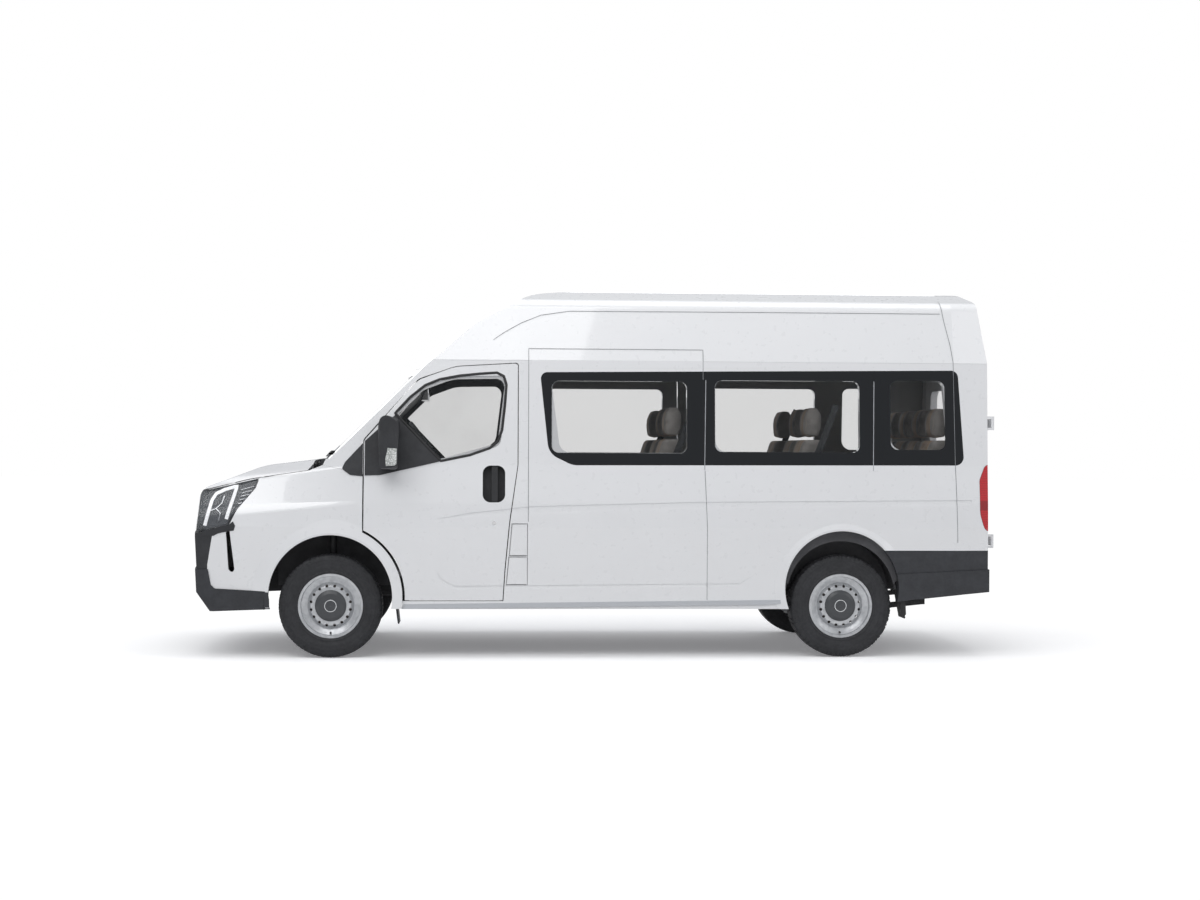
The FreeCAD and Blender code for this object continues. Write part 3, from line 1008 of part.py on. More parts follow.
rim_ring = on_column("steering_rim", [("steering_radius - 28", "-14", "13.9"),
    ("steering_radius", "-14", "13.9"),
                                      ("steering_radius", "14", "13.9"),
                                      ("steering_radius - 28", "14", "13.9")])
boss = on_column("steering_boss", [("0", "-50"), ("30", "-50"), ("62", "-16", "8"), ("62", "12", "8"),
    ("0", "16")])
spokes = []
for number, angle in enumerate((90, 210, 330)):
    spoke = block("steering_spoke%d" % number, ("0", "steering_radius - 14"), ("-16", "16"), ("-7", "7"))
    spoke.setExpression("Placement.Base.x", None)
    spoke.setExpression("Placement.Base.y", None)
    spoke.setExpression("Placement.Base.z", None)
    spoke.Placement = FreeCAD.Placement(Vec(0, -16, -7), FreeCAD.Rotation())
    holder = doc.addObject("Part::Compound", "steering_spoke_set%d" % number)
    holder.Links = [spoke]
    turn = FreeCAD.Rotation(Vec(0, 1, 0), 53).multiply(FreeCAD.Rotation(Vec(0, 0, 1), angle))
    holder.Placement.Rotation = turn
    for letter, formula in zip("xyz", ("front_axle + column_x", "-column_y", "column_z")):
        holder.setExpression("Placement.Base." + letter, bind(formula))
    spokes.append(holder)
steering_wheel = fuse("steering_wheel", rim_ring, boss, *spokes)
column = on_column("steering_column", [("0", "-330"), ("32", "-330"), ("32", "-50 - bearing_gap"),
    ("0", "-50 - bearing_gap")])
dashboard = fuse("dashboard_column", dashboard, column)


# ----------------------------------------------------------------------------------------------------------
# Node name: the object that fills it
# ----------------------------------------------------------------------------------------------------------
NODES = {
    "left_side": left_side, "right_side": right_side, "sliding_door": sliding_door,
    "side_windows": side_glass,
    "sliding_door_glass": sliding_door_glass, "left_front_door": left_front_door,
    "left_door_glass": left_door_glass,
    "left_mirror": left_mirror, "high_roof": high_roof, "windscreen": windscreen, "cowl": cowl,
    "bonnet": bonnet,
    "wings": both("wings", left_wing), "headlamps": both("headlamps", left_headlamp),
    "nose_panel": nose_panel,
    "front_bumper": front_bumper, "left_rear_door": left_rear_door, "left_rear_glass": left_rear_glass,
    "rear_bumper": rear_bumper, "tail_lamps": tail_lamps, "sills": sills, "mudflaps": mudflaps,
    "wipers": wipers,
    "fuel_flap": fuel_flap, "service_flap": service_flap, "floor_pan": floor, "wheelhouses": wheelhouses,
    "bulkhead": bulkhead, "chassis_rails": chassis_rails, "engine": engine, "radiator": radiator,
    "front_suspension": front_suspension, "struts": struts, "rear_axle": rear_axle_beam,
    "leaf_springs": leaf_springs,
    "driveline": driveline, "fuel_tank": fuel_tank, "exhaust": exhaust, "left_knuckle": left_knuckle,
    "left_front_wheel": left_front_wheel, "left_front_tyre": left_front_tyre,
    "left_rear_wheel": left_rear_wheel,
    "left_rear_tyre": left_rear_tyre, "front_row_seats": front_row_seats,
    "middle_row_seats": middle_row_seats,
    "rear_row_seats": rear_row_seats, "cab_seats": cab_seats, "seat_frames": seat_frames,
    "dashboard": dashboard,
    "steering_wheel": steering_wheel,
}
for left_name in ("front_door", "door_glass", "mirror", "rear_door", "rear_glass", "knuckle", "front_wheel",
                  "front_tyre", "rear_wheel", "rear_tyre"):
    NODES["right_" + left_name] = mirrored("right_" + left_name, NODES["left_" + left_name])

doc.recompute()
for thing in doc.Objects:
    if "Invalid" in thing.State or "Error" in thing.State:
        raise RuntimeError("%s did not build: %s" % (thing.Name, thing.State))
for node, thing in NODES.items():
    if thing.Shape.isNull() or not thing.Shape.isValid() or not thing.Shape.Solids:
        raise RuntimeError("%s has no valid solid" % node)

os.makedirs("parts", exist_ok=True)
for node, thing in NODES.items():
    thing.Label = node
    thing.Shape.exportStep("parts/%s.step" % node)
    print("%-20s %d solids  %.1f litres" % (node, len(thing.Shape.Solids), thing.Shape.Volume / 1e6))
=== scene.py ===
"""Looks of a high-roof minibus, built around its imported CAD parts."""
import math

import bmesh
import bpy
from mathutils import Matrix, Vector
from mathutils.bvhtree import BVHTree


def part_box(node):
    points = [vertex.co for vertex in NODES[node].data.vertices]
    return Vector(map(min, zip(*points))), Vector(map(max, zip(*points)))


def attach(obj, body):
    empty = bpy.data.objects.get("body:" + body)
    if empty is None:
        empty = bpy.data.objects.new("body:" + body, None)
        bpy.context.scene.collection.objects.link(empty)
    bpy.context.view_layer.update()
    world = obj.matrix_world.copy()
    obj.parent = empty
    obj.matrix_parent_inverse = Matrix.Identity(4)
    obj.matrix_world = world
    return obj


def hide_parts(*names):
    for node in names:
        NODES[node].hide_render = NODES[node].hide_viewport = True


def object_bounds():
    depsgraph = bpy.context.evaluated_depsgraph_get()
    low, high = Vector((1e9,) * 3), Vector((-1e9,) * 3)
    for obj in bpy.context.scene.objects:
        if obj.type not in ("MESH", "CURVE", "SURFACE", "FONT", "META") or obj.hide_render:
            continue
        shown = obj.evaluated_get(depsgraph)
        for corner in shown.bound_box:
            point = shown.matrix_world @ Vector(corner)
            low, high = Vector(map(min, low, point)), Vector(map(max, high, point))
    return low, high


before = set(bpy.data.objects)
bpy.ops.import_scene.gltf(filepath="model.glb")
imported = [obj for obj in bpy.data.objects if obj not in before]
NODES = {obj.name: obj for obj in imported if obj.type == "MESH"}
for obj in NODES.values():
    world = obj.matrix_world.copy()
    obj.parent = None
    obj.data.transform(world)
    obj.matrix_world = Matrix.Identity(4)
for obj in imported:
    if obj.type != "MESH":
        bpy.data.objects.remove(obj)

CAD_BOX = [list(corner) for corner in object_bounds()]
GROUND_Z = CAD_BOX[0][2]
for shown in bpy.context.selected_objects:
    shown.select_set(False)


# ---------------- Places read from the CAD, in metres
def middle(node):
    low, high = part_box(node)
    return (low + high) / 2


FRONT_AXLE = middle("left_front_tyre").x
REAR_AXLE = middle("left_rear_tyre").x
WHEEL_Z = middle("left_front_tyre").z
HALF_TRACK = -middle("left_front_tyre").y
TAIL = REAR_AXLE + 1.105


# ---------------- Modelling: primitives shaped in edit mode
def chosen(*pieces):
    """Selects these pieces and nothing else; the first is the active one."""
    bpy.ops.object.select_all(action="DESELECT")
    for piece in pieces:
        piece.select_set(True)
    bpy.context.view_layer.objects.active = pieces[0]
    return pieces[0]


def start(kind, name, place, size=(1, 1, 1), turn=(0, 0, 0), **shape):
    """A primitive at its place, size and turn, all of it kept in its mesh."""
    bpy.ops.object.select_all(action="DESELECT")
    getattr(bpy.ops.mesh, "primitive_%s_add" % kind)(location=place, rotation=turn, **shape)
    piece = bpy.context.object
    piece.name = piece.data.name = name
    piece.scale = size
    bpy.ops.object.transform_apply(location=True, rotation=True, scale=True)
    return piece


class Shaping:
    """Edit mode on one piece: parts are picked by a test of their place or normal."""

    def __init__(self, piece, kind="FACE"):
        self.piece, self.kind = piece, kind

    def __enter__(self):
        chosen(self.piece)
        bpy.ops.object.mode_set(mode="EDIT")
        bpy.ops.mesh.select_mode(type=self.kind)
        bpy.ops.mesh.select_all(action="SELECT")
        return self

    def __exit__(self, *fault):
        bpy.ops.object.mode_set(mode="OBJECT")

    def pick(self, test):
        mesh = bmesh.from_edit_mesh(self.piece.data)
        bpy.ops.mesh.select_all(action="DESELECT")
        for part in {"FACE": mesh.faces, "EDGE": mesh.edges, "VERT": mesh.verts}[self.kind]:
            if test(part):
                part.select_set(True)
        bmesh.update_edit_mesh(self.piece.data)


def centre_of(part):
    """The middle of a face or an edge."""
    return sum((corner.co for corner in part.verts), Vector()) / len(part.verts)


def smooth(piece, angle=40):
    chosen(piece)
    bpy.ops.object.shade_smooth_by_angle(angle=math.radians(angle))
    return piece


def modified(piece, kind, **settings):
    """A modifier put on a piece and applied."""
    chosen(piece)
    modifier = piece.modifiers.new(kind.lower(), kind)
    for name, value in settings.items():
        setattr(modifier, name, value)
    bpy.ops.object.modifier_apply(modifier=modifier.name)
    return piece


def joined(name, *pieces):
    whole = chosen(*pieces)
    bpy.ops.object.join()
    whole.name = whole.data.name = name
    return whole


def moved_copy(piece, name, move=(0, 0, 0), mirror_y=False):
    """A copy with its own mesh, moved, or carried to the other side of the vehicle."""
    copy = piece.copy()
    copy.data = piece.data.copy()
    copy.name = copy.data.name = name
    bpy.context.scene.collection.objects.link(copy)
    if mirror_y:
        copy.data.transform(Matrix.Diagonal((1, -1, 1, 1)))
        copy.data.flip_normals()
    copy.data.transform(Matrix.Translation(move))
    return copy


def turned(name, centre, profile, sides=96):
    """A piece turned about the axle: a ring carried along its profile of radius and distance out."""
    radius, out = profile[0]
    piece = start("circle", name, (centre.x, centre.y + out, centre.z), turn=(math.pi / 2, 0, 0),
                  radius=radius, vertices=sides)
    with Shaping(piece, "EDGE"):
        for next_radius, next_out in profile[1:]:
            bpy.ops.mesh.extrude_region_move(TRANSFORM_OT_translate={"value": (0, next_out - out, 0)})
            size = next_radius / radius
            bpy.ops.transform.resize(value=(size, 1, size), center_override=tuple(centre))
            radius, out = next_radius, next_out
    with Shaping(piece, "VERT"):
        bpy.ops.mesh.remove_doubles(threshold=0.00005)
        bpy.ops.mesh.normals_make_consistent(inside=False)
    return piece


def outer_skin():
    """The panels seen from outside, as one tree for rays."""
    points, faces = [], []
    for name, node in NODES.items():
        if name.startswith(("left_", "right_", "sliding", "side_win", "high", "wings", "nose", "bonnet",
                            "front_bump", "rear_bump", "cowl", "windscreen", "headlamps",
                            "tail_lamps")) and not name.endswith(("tyre", "wheel", "knuckle", "mirror")):
            first = len(points)
            points.extend(corner.co.copy() for corner in node.data.vertices)
            faces.extend([first + i for i in face.vertices] for face in node.data.polygons)
    return BVHTree.FromPolygons(points, faces)


SKIN = outer_skin()
NEAR = [(0, 0), (0.009, 0), (-0.009, 0), (0, 0.009), (0, -0.009)]


def tree_of(node):
    mesh = NODES[node].data
    return BVHTree.FromPolygons([corner.co.copy() for corner in mesh.vertices],
                                [list(face.vertices) for face in mesh.polygons])


def skin_y(x, z, side=-1, tree=SKIN):
    """How far out the body is at a place on one side, gaps between panels bridged."""
    found = []
    for dx, dz in NEAR:
        hit = tree.ray_cast(Vector((x + dx, side * 2, z + dz)), Vector((0, -side, 0)), 1.6)[0]
        if hit is not None:
            found.append(abs(hit.y))
    return side * max(found) if found else side * 0.9


def skin_x(y, z):
    """How far back the body is at a place on the tail, gaps between panels bridged."""
    hits = [SKIN.ray_cast(Vector((4, y + dy, z + dz)), Vector((-1, 0, 0)), 4)[0] for dy, dz in NEAR]
    return max(hit.x for hit in hits if hit is not None)


def laid_on_side(piece, side=-1, tree=SKIN):
    """Bends a piece drawn flat at y = 0 on to the vehicle's side."""
    for corner in piece.data.vertices:
        corner.co.y += skin_y(corner.co.x, corner.co.z, side, tree)
    return piece


def laid_on_tail(piece):
    """Bends a piece drawn flat at x = 0 on to the tail."""
    for corner in piece.data.vertices:
        corner.co.x += skin_x(corner.co.y, corner.co.z)
    return piece


def curve_through(name, places, closed, **settings):
    """A piece made from a curve through places of (x, y, z)."""
    curve = bpy.data.curves.new(name, "CURVE")
    for setting, value in settings.items():
        setattr(curve, setting, value)
    line = curve.splines.new("POLY")
    line.points.add(len(places) - 1)
    for point, place in zip(line.points, places):
        point.co = (*place, 1)
    line.use_cyclic_u = closed
    shown = bpy.data.objects.new(name, curve)
    bpy.context.scene.collection.objects.link(shown)
    chosen(shown)
    bpy.ops.object.convert(target="MESH")
    return bpy.context.object


def band(name, route, width, thick, closed=False, step=0.03, lift=0.0):
    """A strip along a route of (x, z) in the plane of the side, later laid on the body."""
    corners = [Vector(point) for point in route]
    fine = []
    pairs = list(zip(corners, corners[1:] + corners[:1])) if closed else list(zip(corners, corners[1:]))
    for first, second in pairs:
        count = max(1, round((second - first).length / step))
        fine.extend(first.lerp(second, i / count) for i in range(count))
    if not closed:
        fine.append(corners[-1])
    piece = curve_through(name, [(x, 0, z) for x, z in fine], closed, dimensions="3D", bevel_mode="ROUND",
                          bevel_depth=width / 2, bevel_resolution=2, use_fill_caps=True)
    for corner in piece.data.vertices:
        corner.co.y = corner.co.y * thick / (width / 2) + lift
    return piece


def plate(name, outline, thick, flat="side", step=0.05, lift=0.0):
    """A flat plate cut to an outline and sliced finely enough to be laid on the side or on an end."""
    piece = curve_through(name, [(across, up, 0) for across, up in outline], True, dimensions="2D",
                          fill_mode="BOTH", extrude=thick / 2)
    low = [min(point[i] for point in outline) for i in (0, 1)]
    high = [max(point[i] for point in outline) for i in (0, 1)]
    with Shaping(piece, "VERT"):
        bpy.ops.mesh.remove_doubles(threshold=0.0001)
        for axis in (0, 1):
            count = int((high[axis] - low[axis]) / step)
            for i in range(1, count + 1):
                at = low[axis] + (high[axis] - low[axis]) * i / (count + 1)
                bpy.ops.mesh.select_all(action="SELECT")
                bpy.ops.mesh.bisect(plane_co=(at, 0, 0) if axis == 0 else (0, at, 0),
                                    plane_no=(1, 0, 0) if axis == 0 else (0, 1, 0))
    for corner in piece.data.vertices:
        across, up, out = corner.co
        corner.co = (across, -out + lift, up) if flat == "side" else (out + lift, across, up)
    with Shaping(piece):
        bpy.ops.mesh.normals_make_consistent(inside=False)
    return piece


# ---------------- Camera and lights
CAMERA_BEHIND_AXLE = 1.0067
CAMERA_Y = -14.2098
CAMERA_Z = 1.4368
CAMERA_YAW = 0.06351
CAMERA_ROLL = -0.0049
LENS = 57.54
SENSOR = 36


def set_camera():
    camera_data = bpy.data.cameras.new("camera")
    camera_data.lens = LENS
    camera_data.sensor_width = SENSOR
    camera_data.clip_end = 200
    camera = bpy.data.objects.new("camera", camera_data)
    bpy.context.scene.collection.objects.link(camera)
    camera.location = (FRONT_AXLE + CAMERA_BEHIND_AXLE, CAMERA_Y, CAMERA_Z)
    camera.rotation_euler = (math.pi / 2, CAMERA_ROLL, -CAMERA_YAW)
    bpy.context.scene.camera = camera


def add_light(name, place, target, size, power):
    light_data = bpy.data.lights.new(name, "AREA")
    light_data.shape = "RECTANGLE"
    light_data.size, light_data.size_y = size
    light_data.energy = power
    light = bpy.data.objects.new(name, light_data)
    bpy.context.scene.collection.objects.link(light)
    light.location = place
    light.rotation_euler = (Vector(target) - Vector(place)).to_track_quat("-Z", "Y").to_euler()


# ---------------- Materials: node arithmetic written as plain expressions
class Value:
    """An output of a node. Arithmetic on it adds Math nodes."""

    def __init__(self, finish, socket):
        self.finish, self.socket = finish, socket

    def math(self, operation, *values):
        return self.finish.node("ShaderNodeMath", {"operation": operation}, list(values))

    def __add__(self, other):
        return self.math("ADD", self, other)

    def __sub__(self, other):
        return self.math("SUBTRACT", self, other)

    def __rsub__(self, other):
        return self.math("SUBTRACT", other, self)

    def __mul__(self, other):
        return self.math("MULTIPLY", self, other)

    def __truediv__(self, other):
        return self.math("DIVIDE", self, other)

    def __abs__(self):
        return self.math("ABSOLUTE", self)

    def __pow__(self, other):
        return self.math("POWER", self, other)

    __radd__ = __add__
    __rmul__ = __mul__

    def least(self, other):
        return self.math("MINIMUM", self, other)

    def most(self, other):
        return self.math("MAXIMUM", self, other)

    def wave(self, length):
        """From 0 to 1 and back once in every length."""
        return self.math("SINE", self * (2 * math.pi / length)) * 0.5 + 0.5

    def ramp(self, start, end, low=0.0, high=1.0):
        """Smoothly from low at start to high at end."""
        return self.finish.node("ShaderNodeMapRange", {"interpolation_type": "SMOOTHSTEP"},
                                [self, start, end, low, high])


class Finish:
    """One material: a Principled shader and the nodes that vary it."""

    def __init__(self, name, colour=(0.8, 0.8, 0.8), rough=0.5, **fixed):
        self.material = bpy.data.materials.new(name)
        self.material.use_nodes = True
        self.nodes = self.material.node_tree.nodes
        self.links = self.material.node_tree.links
        self.shader = self.nodes["Principled BSDF"]
        self.set(base_color=colour, roughness=rough, **fixed)
        self.point = None

    def plug(self, socket, value):
        if isinstance(value, Value):
            self.links.new(value.socket, socket)
        elif socket.type == "RGBA":
            socket.default_value = tuple(value)[:3] + (1,)
        else:
            socket.default_value = value

    def set(self, **inputs):
        """Sets or links the shader's inputs by name."""
        for name, value in inputs.items():
            words = name.replace("_", " ").title().replace("Ior", "IOR")
            self.plug(self.shader.inputs[words], value)
        return self

    def node(self, kind, settings=None, sockets=(), output=0):
        """A node of any kind: its settings first, then its sockets in a list or by name."""
        made = self.nodes.new(kind)
        for name, value in (settings or {}).items():
            setattr(made, name, value)
        pairs = sockets.items() if isinstance(sockets, dict) else enumerate(sockets)
        for key, value in pairs:
            if value is not None:
                self.plug(made.inputs[key], value)
        return Value(self, made.outputs[output])

    def where(self):
        """The point on the piece, in metres."""
        if self.point is None:
            self.point = self.node("ShaderNodeTexCoord", output="Object")
        return self.point

    def along(self, axis):
        """One coordinate of the point on the piece."""
        return self.node("ShaderNodeSeparateXYZ", None, [self.where()], "XYZ".index(axis.upper()))

    def noise(self, scale, detail=3.0):
        """Soft noise from 0 to 1, scale in waves a metre."""
        return self.node("ShaderNodeTexNoise", None, {"Vector": self.where(), "Scale": scale,
                                                      "Detail": detail})

    def cells(self, scale):
        """Distance to the middle of the nearest cell, scale in cells a metre."""
        return self.node("ShaderNodeTexVoronoi", None, {"Vector": self.where(), "Scale": scale})

    def mix(self, factor, first, second):
        """A colour between two colours."""
        return self.node("ShaderNodeMix", {"data_type": "RGBA"}, {0: factor, 6: first, 7: second}, 2)

    def bump(self, height, depth):
        """Relief, height from 0 to 1, depth in metres."""
        return self.set(normal=self.node("ShaderNodeBump", None, {"Distance": depth, "Height": height}))

    def on(self, *nodes):
        """Puts this finish on CAD nodes or new pieces."""
        for item in nodes:
            piece = NODES[item] if isinstance(item, str) else item
            if not piece.data.materials:
                piece.data.materials.append(self.material)
            for place in range(len(piece.data.materials)):
                piece.data.materials[place] = self.material
        return self


def rounded_window(finish, low, high, radius, x, z):
    """1 inside an upright rounded rectangle on the vehicle's side, 0 outside."""
    middle_x, middle_z = (low[0] + high[0]) / 2, (low[1] + high[1]) / 2
    across = (abs(x - middle_x) - ((high[0] - low[0]) / 2 - radius)).most(0)
    up = (abs(z - middle_z) - ((high[1] - low[1]) / 2 - radius)).most(0)
    distance = (across ** 2 + up ** 2) ** 0.5
    return distance.ramp(radius + 0.0015, radius - 0.0015)


def scaled(colour, by):
    return tuple(channel * by for channel in colour)


def paint(name, colour, rough=0.3, lining=None, inner=None, blacks=()):
    """Sprayed paint under a clear coat. What faces the cabin gets the lining's colour: inner says whether the
    piece is a side or the roof. Blacks are the handle bowls: low and high corner and corner radius."""
    finish = Finish(name, colour, rough, coat_weight=1.0, coat_roughness=0.04)
    shown = finish.mix(finish.noise(3, 2), colour, scaled(colour, 0.97))
    shine = finish.noise(25).ramp(0.3, 0.7, rough - 0.03, rough + 0.04)
    dull = None
    for low, high, radius in blacks:
        x, z = finish.along("x") - FRONT_AXLE, finish.along("z")
        spot = rounded_window(finish, low, high, radius, x, z)
        shown = finish.mix(spot, shown, (0.02, 0.021, 0.023))
        dull = spot if dull is None else dull.most(spot)
    if lining:
        faces = finish.node("ShaderNodeTexCoord", output="Normal")
        axis = {"roof": 2, "side": 1}[inner]
        inward = finish.node("ShaderNodeSeparateXYZ", None, [faces], axis)
        if inner == "side":
            inward = inward * (finish.along("y") * 50).least(1).most(-1)
        inside = inward.ramp(-0.2, -0.4)
        tone = finish.mix(finish.cells(420).ramp(0.1, 0.6), lining, scaled(lining, 0.8))
        shown = finish.mix(inside, shown, tone)
        dull = inside if dull is None else dull.most(inside)
    if dull is not None:
        shine = shine + dull * 0.4
        finish.set(coat_weight=1 - dull)
    finish.set(base_color=shown, roughness=shine)
    return finish


def moulded(name, colour, rough=0.55, grain=900, depth=0.0002):
    """Moulded plastic or rubber with a fine leather-like grain."""
    finish = Finish(name, colour, rough)
    paler = tuple(min(1, c * 1.35 + 0.004) for c in colour)
    finish.set(base_color=finish.mix(finish.noise(9, 4).ramp(0.35, 0.75), colour, paler))
    finish.set(roughness=finish.noise(60).ramp(0.3, 0.7, rough - 0.07, rough + 0.08))
    return finish.bump(finish.cells(grain), depth)


def steel(name, colour, rough=0.4, metallic=0.6, depth=0.00012):
    """Painted or bare steel with a slight mottled finish."""
    finish = Finish(name, colour, rough, metallic=metallic)
    finish.set(base_color=finish.mix(finish.noise(14, 4).ramp(0.3, 0.8), colour, scaled(colour, 0.8)))
    finish.set(roughness=finish.noise(45, 3).ramp(0.3, 0.7, rough - 0.08, rough + 0.1))
    return finish.bump(finish.noise(300, 2), depth)


# ---------------- Finishes of the object
WHITE = (0.83, 0.835, 0.845)
white_paint = paint("white_paint", WHITE, 0.3)
FRONT_DOOR_BOWL = ((1.040, 1.072), (1.195, 1.326), 0.055)
SLIDING_DOOR_BOWL = ((1.408, 1.072), (1.563, 1.326), 0.055)
LINING = (0.36, 0.355, 0.345)
side_paint = paint("side_paint", WHITE, 0.3, LINING, "side")
roof_paint = paint("roof_paint", WHITE, 0.3, (0.55, 0.55, 0.53), "roof")
front_door_paint = paint("front_door_paint", WHITE, 0.3, (0.11, 0.11, 0.115), "side", [FRONT_DOOR_BOWL])
sliding_door_paint = paint("sliding_door_paint", WHITE, 0.3, LINING, "side", [SLIDING_DOOR_BOWL])
black_plastic = moulded("black_plastic", (0.016, 0.017, 0.020), 0.5)
charcoal = moulded("charcoal_bumper", (0.022, 0.0235, 0.028), 0.55)
gloss_black = paint("gloss_black", (0.012, 0.013, 0.016), 0.12)
trim_grey = moulded("trim_grey", (0.26, 0.26, 0.265), 0.6)
trim_dark = moulded("trim_dark", (0.05, 0.05, 0.054), 0.6)
rubber = moulded("rubber", (0.014, 0.014, 0.015), 0.65, 700, 0.0001)
chassis_black = steel("chassis_black", (0.025, 0.025, 0.027), 0.55, 0.3, 0.0004)
cast_iron = steel("cast_iron", (0.12, 0.115, 0.11), 0.6, 0.7, 0.0005)
bright_metal = steel("bright_metal", (0.75, 0.75, 0.76), 0.22, 1.0, 0.00003)


# clear panes in the black band: low corner and high corner, behind the front axle and above the ground
PANES = [((1.515, 1.416), (2.457, 1.916)), ((2.652, 1.427), (3.671, 1.927)), ((3.889, 1.448), (4.275, 1.932))]
CLEAR = (0.05, 0.056, 0.06)
FRIT = (0.004, 0.0055, 0.0075)


def glazing(name, windows, tint=0.1):
    """Tinted glass with a black printed border outside its clear panes."""
    glass = Finish(name, FRIT, 0.04, ior=1.5)
    x, z = glass.along("x") - FRONT_AXLE, glass.along("z")
    clear = None
    for low, high in windows:
        pane = rounded_window(glass, low, high, 0.05, x, z)
        clear = pane if clear is None else clear.most(pane)
    glass.set(base_color=glass.mix(clear, FRIT, CLEAR))
    glass.set(roughness=glass.noise(4).ramp(0.4, 0.7, 0.03, 0.07))
    glass.set(alpha=clear.ramp(0.0, 1.0, 1.0, tint))
    return glass


side_glazing = glazing("side_glazing", PANES)
plain_glass = Finish("plain_glass", (0.04, 0.045, 0.048), 0.04, ior=1.5)
plain_glass.set(alpha=plain_glass.noise(2).ramp(0.3, 0.7, 0.1, 0.13))
plain_glass.set(roughness=plain_glass.noise(4).ramp(0.4, 0.7, 0.03, 0.07))
SCREEN_LOW, SCREEN_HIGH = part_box("windscreen")
screen_glass = Finish("screen_glass", (0.02, 0.022, 0.024), 0.04, ior=1.5)
screen_z = screen_glass.along("z")
EDGE_FADE = 0.004
black_edge = (abs(screen_glass.along("y")) - (SCREEN_HIGH.y - 0.045)).ramp(0, EDGE_FADE)
black_edge = black_edge.most((screen_z - (SCREEN_HIGH.z - 0.055)).ramp(0, EDGE_FADE))
black_edge = black_edge.most((SCREEN_LOW.z + 0.07 - screen_z).ramp(0, EDGE_FADE))
screen_glass.set(base_color=screen_glass.mix(black_edge, (0.04, 0.045, 0.048), (0.012, 0.012, 0.013)))
screen_glass.set(alpha=black_edge.ramp(0, 1, 0.1, 1.0))


def wheel_finish(name, axle_x):
    """Silver steel disc, dark cap, bare iron brake disc."""
    finish = Finish(name, (0.5, 0.5, 0.52), 0.35)
    across, up = finish.along("x") - axle_x, finish.along("z") - WHEEL_Z
    radius = (across ** 2 + up ** 2) ** 0.5
    out = abs(finish.along("y")) - HALF_TRACK
    cap = radius.ramp(0.1085, 0.1075) * out.ramp(0.055, 0.056)
    inboard = out.ramp(0.028, 0.026) * radius.ramp(0.152, 0.149)
    silver = finish.mix(finish.noise(30, 4).ramp(0.35, 0.75), (0.53, 0.54, 0.555), (0.43, 0.44, 0.455))
    iron = finish.mix(finish.noise(80, 4).ramp(0.4, 0.7), (0.22, 0.2, 0.19), (0.13, 0.1, 0.085))
    colour = finish.mix(inboard, silver, iron)
    colour = finish.mix(cap, colour, (0.055, 0.058, 0.063))
    finish.set(base_color=colour, metallic=(1 - cap) * 0.55)
    finish.set(roughness=finish.noise(50).ramp(0.3, 0.7, 0.3, 0.42))
    return finish.bump(finish.noise(260, 3), 0.00008)


front_wheel_finish = wheel_finish("front_wheel_silver", FRONT_AXLE)
rear_wheel_finish = wheel_finish("rear_wheel_silver", REAR_AXLE)
red_lens = Finish("red_lens", (0.5, 0.01, 0.015), 0.08, coat_weight=1.0)
behind_z = red_lens.along("z")
notch = ((red_lens.along("x") - (TAIL - 0.052)) / 0.05 - abs(behind_z - 1.052) / 0.06).ramp(0.0, 0.12)
fluted = red_lens.mix(behind_z.wave(0.012), (0.62, 0.012, 0.02), (0.4, 0.006, 0.012))
fluted = red_lens.mix(abs(behind_z - 1.06).ramp(0.035, 0.03), fluted, (0.3, 0.004, 0.008))
red_lens.set(base_color=red_lens.mix(notch, fluted, (0.75, 0.72, 0.72)))
lamp_glass = Finish("lamp_glass", (0.3, 0.32, 0.34), 0.05, coat_weight=1.0)
lamp_glass.set(alpha=lamp_glass.noise(8).ramp(0.3, 0.7, 0.1, 0.13))

sill_grey = paint("sill_grey", (0.5, 0.52, 0.55), 0.35)
# the first row with a word that is in the node's name gives its finish
FINISHES = [(rubber, "tyre"), (front_wheel_finish, "front_wheel"), (rear_wheel_finish, "rear_wheel"),
            (side_glazing, "side_windows", "sliding_door_glass"), (screen_glass, "windscreen"),
            (plain_glass, "glass"), (red_lens, "tail_lamps"), (lamp_glass, "headlamps"), (sill_grey, "sills"),
            (charcoal, "bumper"), (black_plastic, "mirror", "cowl", "nose_panel", "mudflaps", "wipers"),
            (trim_dark, "dashboard", "steering_wheel", "wheelhouses"), (trim_grey, "floor_pan", "bulkhead"),
            (chassis_black, "chassis_rails", "front_suspension", "struts", "rear_axle", "leaf_springs",
             "seat_frames", "driveline", "fuel_tank"),
            (cast_iron, "engine", "exhaust", "radiator", "knuckle"),
            (side_paint, "left_side", "right_side"), (roof_paint, "high_roof"),
            (front_door_paint, "front_door"), (sliding_door_paint, "sliding_door"), (white_paint, "")]
for name in NODES:
    next(finish for finish, *words in FINISHES if any(word in name for word in words)).on(name)


# ---------------- Tyres: ribbed sidewalls and a block tread, modelled once and carried to each wheel
TYRE_LOW, TYRE_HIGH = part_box("left_front_tyre")
TYRE_HALF = (TYRE_HIGH.y - TYRE_LOW.y) / 2
TYRE_OUT = (TYRE_HIGH.z - TYRE_LOW.z) / 2 - 0.0005
# radius less than the tread's, distance in from the sidewall's widest place
SIDEWALL = [(0.1325, 0.0190), (0.1290, 0.0115), (0.1230, 0.0085), (0.1160, 0.0070), (0.1130, 0.0088),
            (0.1080, 0.0090), (0.0960, 0.0042), (0.0820, 0.0010), (0.0760, 0.0004), (0.0750, 0.0012),
            (0.0620, 0.0012), (0.0610, 0.0004), (0.0520, 0.0008), (0.0440, 0.0022), (0.0430, 0.0036),
            (0.0400, 0.0038), (0.0390, 0.0026), (0.0300, 0.0050), (0.0210, 0.0078), (0.0120, 0.0120),
            (0.0060, 0.0170), (0.0024, 0.0235), (0.0008, 0.0310)]
